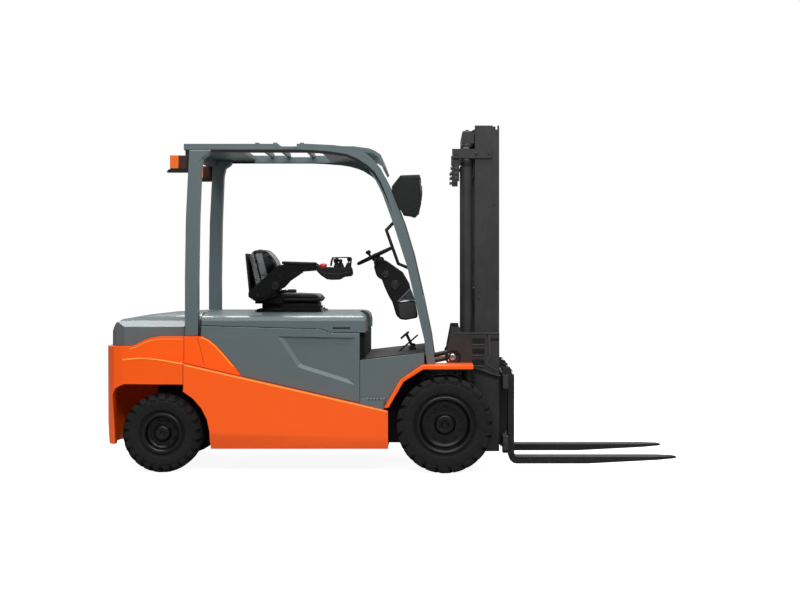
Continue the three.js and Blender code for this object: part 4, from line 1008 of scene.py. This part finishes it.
def armrest():
    bracket = [
        (-1464, 1264), (-1402, 1224), (-1332, 1240), (-1232, 1318), (-1196, 1334), (-1150, 1385),
        (-1082, 1430), (-1060, 1452), (-960, 1459), (-958, 1500), (-1180, 1508), (-1240, 1500), (-1464, 1300),
    ]
    body = Build().slab(bracket, ARM_OUT + 12, ARM_IN - 4)
    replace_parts(body.piece("armrest_bracket", deep_black, "hood_lid", 9, 4), "armrest")

    panel = [(-1430, 1270), (-1398, 1250), (-1336, 1262), (-1186, 1386), (-1206, 1402), (-1250, 1440)]
    panel.append((-1282, 1440))
    Build().slab(panel, ARM_OUT + 5, ARM_OUT + 14).piece("armrest_cover", deep_black, "hood_lid", 4, 3)
    details = Build()
    washer = [(0, 0), (30, 0), (30, 3), (25, 5), (23, 2), (0, 2)]
    details.lathe(washer, (-1264, ARM_OUT + 5.5, 1346), (0, -1, 0), 40)
    for x, out, z, radius, height in ((-1264, 4, 1346, 9, 6), (-1392, 5, 1274, 7, 5), (-1224, 5, 1412, 6, 5)):
        details.bolt((x, ARM_OUT + out, z), (0, -1, 0), radius, height)
    details.block(-1128, -1052, ARM_OUT + 10, ARM_OUT + 14, 1440, 1446)
    details.piece("armrest_fasteners", plastic, "hood_lid", 0.6)

    rings = []
    for share in (0, 0.06, 0.2, 0.5, 0.8, 0.94, 1):
        edge = math.sin(math.pi * min(max(share, 0.02), 0.98)) ** 0.35
        half = 44 * (0.7 + 0.3 * edge)
        thick = 32 * (0.55 + 0.45 * edge)
        ring = []
        for k in range(20):
            c, d = math.cos(2 * math.pi * k / 20), math.sin(2 * math.pi * k / 20)
            y = -288 + half * math.copysign(abs(c) ** 0.55, c)
            z = 1531 - 8 * share - thick / 2 + thick / 2 * math.copysign(abs(d) ** 0.6, d)
            ring.append(at(-1216 + share * 262, y, z))
        rings.append(ring)
    arm_pad = Build().loft(rings).piece("armrest_pad", vinyl, "hood_lid", None)
    for polygon in arm_pad.data.polygons:
        polygon.use_smooth = True
    finer = arm_pad.modifiers.new("finer", "SUBSURF")
    finer.levels = finer.render_levels = 2

    console = [
        (-962, 1468), (-920, 1425), (-877, 1396), (-840, 1391), (-782, 1392), (-748, 1412), (-692, 1419),
        (-684, 1440), (-690, 1478), (-704, 1492), (-780, 1482), (-862, 1488), (-926, 1484), (-950, 1517),
    ]
    Build().slab(console, ARM_OUT - 22, ARM_IN + 6).piece("armrest_console", plastic_soft, "hood_lid", 11, 4)
    ledge = [(-950, 1470), (-900, 1438), (-800, 1430), (-742, 1440), (-700, 1446)]
    ledge += [(-700, 1453), (-800, 1438), (-900, 1446)]
    Build().slab(ledge, ARM_OUT - 24.5, ARM_OUT - 18).piece("console_ledge", plastic_grey, "hood_lid")
    button = [(0, -6), (22, -6), (22, 6), (27, 8), (28, 22), (24, 30), (12, 34), (0, 34.5)]
    button = Build().lathe(button, (-905, -318, 1480), (0, -0.18, 0.98), 40)
    button.piece("stop_button", red_plastic, "hood_lid", 0.6)

    levers = Build()
    boot = [(0, -8), (24, -8), (23, 4), (19, 10), (20, 14), (15, 20), (16, 24), (9, 30), (0, 30)]
    knob = [(0, -16), (10, -15), (13, -4), (15, 8), (13, 15), (7, 19), (0, 19.5)]
    places = ((-804, -330, 1536, -9), (-798, -296, 1540, -6), (-774, -266, 1532, -5), (-717, -318, 1548, 4))
    for x, y, top, lean in places:
        levers.lathe(boot, (x, y, 1488), (0, 0, 1), 24)
        levers.rod((x, y, 1506), (x + lean, y, top), 6, 12)
        levers.lathe(knob, (x + lean, y, top - 5), (-0.05, 0, 1), 24)
    levers.piece("hand_levers", plastic_soft, "hood_lid", None)
    guard = Build()
    hoop = [(-848, 1494), (-846, 1520), (-836, 1557), (-702, 1559), (-697, 1548), (-704, 1486)]
    for y in (-346, -248):
        guard.pipe([(x, y, z) for x, z in hoop], 4, 10, 14)
    for x, z in ((-836, 1557), (-702, 1559)):
        guard.rod((x, -346, z), (x, -248, z), 3, 10)
    guard.piece("lever_guard", plastic, "hood_lid", None)


# ---------------- steering wheel and column
WHEEL = (-531, 0, 1573)
WHEEL_AXIS = Vector((-123, 0, 258)).normalized()


def wheel_frame(x, y, up):
    """A point in the steering wheel's own plane: x towards the front and up, y across, up along its axis."""
    forward = Vector((WHEEL_AXIS.z, 0, -WHEEL_AXIS.x))
    return tuple(Vector(WHEEL) + forward * x + Vector((0, 1, 0)) * y + WHEEL_AXIS * up)


def steering_wheel():
    turn = [2 * math.pi * k / 16 for k in range(16)]
    ring = [(140 + 12.6 * math.cos(t), 12.6 * math.sin(t)) for t in turn]
    build = Build().lathe(ring, WHEEL, WHEEL_AXIS, 72, closed=True)
    for turn in (90, 210, 330):
        a = math.radians(turn)
        c, s = math.cos(a), math.sin(a)
        rings = []
        for r, half, low, high in ((24, 17, -9, 5), (60, 12, -7, 3), (105, 10, -5, 4), (134, 12, -6, 6)):
            corners = ((-half, low), (half, low), (half, high), (-half, high))
            rings.append([at(*wheel_frame(c * r - s * w, s * r + c * w, h)) for w, h in corners])
        build.loft(rings)
    hub = [(0, -34), (30, -34), (34, -20), (38, -4), (36, 6), (31, 12), (27, 12), (26, 15), (12, 18)]
    build.lathe(hub + [(0, 18.5)], WHEEL, WHEEL_AXIS, 48)
    knob = [(0, -14), (10, -14), (10, 4), (9, 12), (13, 18), (19, 24), (21, 33), (19, 41), (12, 46), (0, 48)]
    build.lathe(knob, wheel_frame(-40, 133, 18), WHEEL_AXIS, 32)
    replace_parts(build.piece("steering_wheel_rim", plastic_soft, "steering", 0), "steering_wheel")


def steering_column():
    tower = [
        (-540, 1490), (-522, 1532), (-470, 1545), (-438, 1532), (-318, 1448), (-268, 1362), (-258, 1318),
        (-240, 1262), (-300, 1232), (-352, 1222), (-396, 1215), (-424, 1262), (-458, 1335), (-478, 1392),
        (-502, 1402), (-520, 1425),
    ]
    tower = Build().slab(tower, -46, 46).piece("column_tower", plastic_soft, soft=12, segments=4)
    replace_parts(tower, "steering_column")
    box = [
        (-400, 1226), (-368, 1118), (-338, 1088), (-294, 1082), (-205, 1099), (-205, 1129), (-226, 1232),
        (-352, 1216), (-372, 1262),
    ]
    Build().slab(box, -61.5, 61.5).piece("column_box", plastic_soft, soft=12, segments=4)
    fold = [(-358, 1224), (-262, 1326), (-244, 1290), (-228, 1240), (-226, 1232), (-300, 1236)]
    Build().slab(fold, -59, 59).piece("column_fold", column_grey, soft=8, segments=3)
    lip = Build().slab(
        [(-352, 1218), (-300, 1231), (-226, 1229), (-226, 1237), (-300, 1240), (-352, 1228)], -62.4, 62.4
    )
    lip.slab([(-358, 1226), (-352, 1221), (-256, 1319), (-262, 1326)], -60.4, 60.4)
    lip.piece("column_lip", lip_grey, soft=2, segments=3)
    panel = [(-352, 1206), (-250, 1216), (-222, 1214), (-214, 1150), (-214, 1104), (-300, 1092), (-336, 1100)]
    Build().slab(panel, -63.2, 63.2).piece("column_side_panel", column_grey, soft=3, segments=3)

    knuckle = Build()
    knuckle.rod((-484, -50, 1544), (-484, 50, 1544), 22, 32)
    collar = wheel_frame(6, 0, -36)
    knuckle.lathe([(0, -34), (36, -34), (40, -20), (38, -3), (30, 0.5), (0, 0.5)], collar, WHEEL_AXIS, 36)
    for side in (-1, 1):
        for x, z, r in ((-447, 1432, 27), (-376, 1352, 34)):
            cap = [(0, -1), (r, -1), (r, 2), (r - 5, 5), (r - 8, 2.5), (r - 14, 2.5), (r - 17, 6), (0, 7)]
            knuckle.lathe(cap, (x, side * 46, z), (0, side, 0), 40)
        knuckle.bolt((-298, side * 59.8, 1262), (0, side, 0), 6, 5)
    knuckle.piece("column_details", plastic_grey, soft=1)

    stalk = Build()
    stalk.pipe([(-505, 38, 1536), (-512, 95, 1545), (-520, 150, 1552)], 5, 12, 20)
    stalk.lathe([(0, -2), (9, 0), (10, 24), (7, 30), (0, 31)], (-517, 138, 1550), (-0.15, 1, 0.12), 20)
    stalk.pipe([(-505, -38, 1536), (-514, -92, 1540), (-520, -120, 1543)], 5, 12, 20)
    stalk.lathe([(0, -2), (9, 0), (10, 20), (7, 26), (0, 27)], (-518, -112, 1542), (-0.12, -1, 0.1), 20)
    stalk.piece("column_stalks", plastic, soft=None)


def pedals():
    ribs = Build()
    along = Vector((-58, -48)).normalized()
    out = Vector((along.y, -along.x))
    for y in (-190, -75):
        for k in range(4):
            c = Vector((-277, 997)) + along * (4 + 13 * k)
            a = c + along * 6
            ribs.slab([c, a, a + out * 3.5, c + out * 3.5], y - 29, y + 29)
    ribs.piece("pedal_ribs", rubber_pad, soft=0.8)
    rods = Build()
    rods.pipe([(-200, -160, 975), (-272, -160, 912), (-343, -160, 850)], 6.5, 12, 12)
    rods.lathe([(0, 0), (15, 0), (17, 4), (15, 26), (10, 30), (0, 30)], (-236, -132, 880), (0.08, 0, 1), 24)
    rods.block(-272, -216, -206, -60, 872, 884)
    rods.piece("pedal_links", plastic_soft, soft=1.2)


seat()
armrest()
steering_wheel()
steering_column()
pedals()


# ---------------- mast
HOUSING_Y, RAIL_Y = 430, 392
TILT_HEAD = (62, 821)


def mast_housing():
    ribs, slot_shade, pins, heads = Build(), Build(), Build(), Build()
    for k in range(3):
        z = 942 - 79 * k
        # The louvre slots are black slabs: painted shade for the dark inside of the openings.
        slot_shade.slab(rounded_rectangle(203, 294, z - 20, z + 20, 5), HOUSING_Y - 4, HOUSING_Y + 0.7)
        ribs.slab(rounded_rectangle(200, 296, z - 33, z - 24, 4), HOUSING_Y - 3, HOUSING_Y + 8)
    spine = [(306, 985), (322, 985), (322, 925), (326, 830), (300, 790), (300, 768), (384, 716), (384, 730)]
    spine += [(316, 774), (342, 826), (338, 928), (338, 985)]
    ribs.slab(spine, HOUSING_Y - 3, HOUSING_Y + 7)
    ribs.slab([(74, 1002), (404, 1002), (404, 994), (74, 994)], HOUSING_Y - 3, HOUSING_Y + 7)
    brow = [(218, 738), (290, 716), (380, 684), (403, 680), (403, 688), (382, 693), (292, 725), (220, 747)]
    ribs.slab(brow, HOUSING_Y - 3, HOUSING_Y + 6)
    slot_shade.slab([(316, 962), (398, 962), (398, 942), (330, 938)], HOUSING_Y - 4, HOUSING_Y + 0.8)
    ribs.mirror().piece("housing_ribs", lit_rib_paint, "mast", 2.2)
    slot_shade.mirror().piece("housing_slot_shade", plastic_soft, "mast", 0.8)

    x, z = TILT_HEAD
    boss = [(0, -4), (58, -4), (60, 0), (60, 3), (54, 6), (46, 6), (40, 3), (0, 3)]
    head = [(0, 0), (24, 0), (24, 4), (20, 7.5), (8, 8), (0, 8)]
    for side in (-1, 1):
        out = (0, side, 0)
        pins.lathe(boss, (x, side * (HOUSING_Y - 3), z), out, 44)
        heads.lathe(head, (x - 4, side * HOUSING_Y, z), out, 36)
        for rise in (26, -26):
            heads.bolt((x - 34, side * (HOUSING_Y - 1), z + rise), out, 6, 6)
    pins.piece("tilt_pin_bosses", frame_paint, "mast", 1, slot="mast_paint")
    heads.piece("tilt_pin_heads", chrome, "mast", 0.5)


def mast_top():
    rail = Build()
    head = 2289
    plate = rounded_rectangle(58, 349, head + 4, head + 69, 10)
    rail.slab(plate, 403.5, 409)
    rail.mirror()
    for side in (-1, 1):
        for x in (84, 232, 328):
            rail.bolt((x, side * 409, head + 36), (0, side, 0), 8, 7)
        rail.bolt((365, side * 395, 1950), (0, side, 0), 6, 5)
        rail.slab(rounded_rectangle(226, 284, 1497, 1503, 2.5), side * RAIL_Y, side * (RAIL_Y + 4))
        rail.block(351, 353.5, *sorted((side * RAIL_Y, side * (RAIL_Y + 3.6))), 1012, 2492)
        for z in (205, 300, 1260, 1310):
            rail.bolt((250, side * 395, z), (0, side, 0), 8, 6)
    rail.piece("mast_head_plates", mast_paint, "mast", 1.2)

    fittings = Build()
    for k in range(3):
        z = 2148 + 36 * k
        for side in (-1, 1):
            nut = [(0, 0), (11, 0), (11, 9), (13, 10), (13, 19), (0, 19)]
            fittings.lathe(nut, (62, side * 366, z), (-1, 0, 0), 6)
            cap = [(0, 0), (12, 0), (12, 5), (10, 8), (0, 8)]
            fittings.lathe(cap, (85, side * 390, z), (0, side, 0), 6)
    fittings.piece("hose_fittings", dull_rod, "mast", 0.6)

    cap, glands = Build(), Build()
    collar = [(29.5, 0), (44, 0), (44, 16), (38, 22), (29.5, 22)]
    gland = [(30, 0), (45, 0), (46, 4), (46, 26), (42, 30), (30, 30)]
    up = (0, 0, 1)
    for side in (-1, 1):
        x, y = 166, side * 360  # the lift cylinder's axis
        cap.lathe([(0, -1), (35, -1), (35, 8), (30, 14), (14, 16), (0, 16)], (x, y, 2482), up, 40)
        cap.bolt((x, y, 2496), up, 12, 10)
        cap.lathe(collar, (x, y, 2378), up, 40, closed=True)
        glands.lathe(gland, (x, y, 2238), up, 40, closed=True)
        glands.lathe([(41, 0), (49, 1), (49, 17), (41, 18)], (x, y, 622), up, 40, closed=True)
        glands.pipe([(118, y, 640), (104, y, 640), (104, side * 330, 560), (104, side * 318, 420)], 8, 12, 24)
    cap.piece("rod_caps", mast_paint, "lifting_mast", 1)
    glands.piece("lift_glands", frame_paint, "mast", 0.8, slot="mast_paint")


CHAIN_Y, CHAIN_FRONT, CHAIN_BACK, SHEAVE_Z = 225, 330, 180, 2441


def chain_links(name, x, low, blend_low, blend_high):
    """A leaf chain as a flat strap with side plates, up to its sheave; its links are in the finish. It is one
    fixed piece from its low end up to the sheave."""
    rows = 2 + int((SHEAVE_Z - low) / 38)
    build = Build()
    for y in (-CHAIN_Y, CHAIN_Y):
        for offset, width, depth in ((-9, 2.6, 11), (-3, 2.6, 11), (3, 2.6, 11), (9, 2.6, 11), (0, 10.4, 4)):
            corners = ((-depth, -width), (depth, -width), (depth, width), (-depth, width))
            heights = [low + (SHEAVE_Z - low) * k / rows for k in range(rows + 1)]
            build.loft([[at(x + dx, y + offset + dy, z) for dx, dy in corners] for z in heights])
    obj = place(name, mesh_of(name, build.verts, build.faces))
    obj.data.materials.append(chain_steel)
    soften(obj, 0)
    at(x, 0, blend_low)
    at(x, 0, blend_high)
    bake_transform(obj)


def chains():
    chain_links("lift_chain_front", CHAIN_FRONT, 690, 700, SHEAVE_Z)
    chain_links("lift_chain_back", CHAIN_BACK, 2262, 2270, SHEAVE_Z - 2)
    sheaves, axles, anchors = Build(), Build(), Build()
    middle = (CHAIN_FRONT + CHAIN_BACK) / 2
    radius = (CHAIN_FRONT - CHAIN_BACK) / 2
    rim = [(12, -19), (radius + 9, -19), (radius + 10, -14), (radius - 11, -12.5), (radius - 11, 12.5)]
    rim += [(radius + 10, 14), (radius + 9, 19), (12, 19)]
    web = [(12, 10), (radius - 22, 8), (radius - 22, -8), (12, -10)]
    cheek = [(200, 2408), (middle + 22, 2414), (middle + 26, SHEAVE_Z), (middle + 8, 2470), (200, 2474)]
    for y in (-CHAIN_Y, CHAIN_Y):
        sheaves.lathe(rim + web, (middle, y, SHEAVE_Z), (0, 1, 0), 56, closed=True)
        axles.rod((middle, y - 34, SHEAVE_Z), (middle, y + 34, SHEAVE_Z), 14, 24)
        for side in (-1, 1):
            axles.slab(cheek, y + side * 29 - 4, y + side * 29 + 4)
        anchors.block(CHAIN_BACK - 14, CHAIN_BACK + 26, y - 22, y + 22, 2226, 2262)
        anchors.rod((CHAIN_BACK, y, 2170), (CHAIN_BACK, y, 2228), 8, 16)
        anchors.bolt((CHAIN_BACK, y, 2184), (0, 0, -1), 13, 12)
    sheaves.piece("chain_sheaves", frame_paint, "lifting_mast", 1, slot="mast_paint")
    axles.piece("sheave_axles", mast_paint, "lifting_mast")
    anchors.piece("chain_anchors", mast_paint, "mast")
    ends = Build()
    for y in (-CHAIN_Y, CHAIN_Y):
        ends.block(CHAIN_FRONT - 15, CHAIN_FRONT + 15, y - 18, y + 18, 640, 690)
        ends.block(CHAIN_FRONT - 15, 428, y - 18, y + 18, 640, 656)
    ends.piece("chain_ends", mast_paint, "fork_carriage", 2)


def carriage_details():
    build = Build()
    for side in (-1, 1):
        for z in (200, 650):
            build.block(426, 460, side * 552, side * 562, z - 48, z + 48)
        build.bolt((445, side * 561, 200), (0, side, 0), 9, 7)
    for k in range(-5, 6):
        build.slab([(437.5, 699), (451.5, 699), (451.5, 700.8), (437.5, 700.8)], 90 * k - 7, 90 * k + 7)
    build.bolt((463, 0, 200), (1, 0, 0), 12, 9)
    build.piece("carriage_details", mast_paint, "fork_carriage", 1)
    strap = [(428, 747), (466, 747), (500, 716), (504, 720), (470, 752), (428, 752)]
    for word, side in reversed(SIDES):
        pin, y = 444, side * 400  # the latch pin on the fork's hook
        latch = Build().rod((pin, y, 746), (pin, y, 768), 12).rod((pin, y, 768), (pin, y, 773), 16)
        latch.pipe([(pin, y - 3, 766), (452, y + 22, 768), (470, y + 26, 760)], 4, 10, 8)
        for y0 in (y - 52, y + 46):
            latch.slab(strap, y0, y0 + 6)
        for z in (640, 180):
            latch.bolt((511, y, z), (1, 0, 0), 9, 4)
        latch.piece("fork_latch_" + word, fork_steel, word + "_fork", 0.8)


mast_housing()
mast_top()
chains()
carriage_details()


# ---------------- guard edges and underside
def guard_shade_band():
    # A dark band under the guard's side rail and down its curve: painted shade under the rail.
    line = [
        (-1880, 2331), (-1234, 2331), (-1070, 2331), (-961, 2327), (-825, 2316), (-716, 2298), (-643, 2268),
        (-571, 2222), (-516, 2170), (-470, 2098), (-425, 1998), (-385, 1890),
    ]
    upper, lower = [], []
    for i, (x, z) in enumerate(line):
        before, after = line[max(i - 1, 0)], line[min(i + 1, len(line) - 1)]
        along = Vector((after[0] - before[0], after[1] - before[1])).normalized()
        half = 10 if i < 9 else 10 - 3 * (i - 8)
        upper.append((x - along.y * half, z + along.x * half))
        lower.append((x + along.y * half, z - along.x * half))
    Build().slab(upper + lower[::-1], 590, 616).mirror().piece("guard_shade_band", gasket)


def underside():
    build, weight = Build(), Build()
    for side in (-1, 1):
        for x in (-1580, -1380, -1180, -980, -780):
            build.bolt((x, side * 500, 240), (0, 0, -1), 11, 8)
        plug = [(0, -3), (34, -3), (34, 1), (30, 4), (22, 5), (20, 2), (0, 2)]
        weight.lathe(plug, (REAR - 436 + 2.5, side * 330, 470), (-1, 0, 0), 40)
    build.piece("pan_bolts", frame_paint, soft=0.6)
    weight.piece("weight_plugs", frame_paint, soft=0.8)


guard_shade_band()
underside()


# ---------------- camera, light, floor
def camera():
    """Square to the right side, level with the middle of the guard, with the lens shifted to frame it."""
    data = bpy.data.cameras.new("camera")
    data.sensor_width, data.lens, data.clip_end = 36.0, 68.1, 200.0
    data.shift_x, data.shift_y = -0.0425, -0.0419
    obj = place("camera", data)
    obj.location = (FRONT_X - 0.079, -11.6, 1.491)
    obj.rotation_euler = (math.radians(90), 0, 0)
    bpy.context.scene.camera = obj


def area_light(name, where, target, width, height, watts):
    data = bpy.data.lights.new(name, "AREA")
    data.shape = "RECTANGLE"
    data.size, data.size_y, data.energy = width, height, watts
    obj = place(name, data)
    obj.location = where
    obj.rotation_euler = (Vector(target) - Vector(where)).to_track_quat("-Z", "Y").to_euler()


def studio():
    world = bpy.data.worlds.new("studio")
    bpy.context.scene.world = world
    world.use_nodes = True
    tree = world.node_tree
    tree.nodes.clear()
    out = tree.nodes.new("ShaderNodeOutputWorld")
    lit, seen = (
        make_node(tree, "ShaderNodeBackground", 0, {"Color": colour, "Strength": strength})
        for colour, strength in (((0.97, 0.985, 1.0, 1), 0.30), ((1, 1, 1, 1), 1.0))
    )
    path = make_node(tree, "ShaderNodeLightPath", "Is Camera Ray")
    feed(tree, out, {0: make_node(tree, "ShaderNodeMixShader", 0, {0: path, 1: lit, 2: seen})})

    area_light("overhead", (0.0, 0.0, 6.5), (0, 0, 0.6), 7.5, 4.0, 300)
    area_light("strip", (-0.2, -1.3, 6.4), (-0.2, -0.9, 0.6), 7.0, 1.3, 260)
    area_light("front_fill", (0.3, -8.0, 7.0), (0, 0, 1.0), 9.0, 3.0, 640)
    area_light("back_fill", (-0.5, 8.0, 6.5), (0, 0, 1.0), 9.0, 3.0, 335)

    mesh = mesh_of("floor", [(-90, -90, 0), (90, -90, 0), (90, 90, 0), (-90, 90, 0)], [[0, 1, 2, 3]])
    n = Nodes("studio_floor")
    n.finish(n.ramp(n.noise(0.8, 2), (0.34, 0.34, 0.34, 1), (0.37, 0.37, 0.37, 1)), 0.9, 0.1)
    strength = n.math("MULTIPLY", n.make("LightPath", "Is Camera Ray"), 0.92)
    glow = n.make("Emission", 0, {"Color": (1, 1, 1, 1), "Strength": strength})
    both = n.make("AddShader", 0, {0: n.shader.outputs[0], 1: glow})
    feed(n.tree, n.out, {0: both})
    mesh.materials.append(n.material)
    place("floor", mesh)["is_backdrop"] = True
    bpy.context.scene.view_settings.view_transform = "Standard"


camera()
studio()

lists = [[list(corner) for corner in box] for box in (cad_box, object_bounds())]
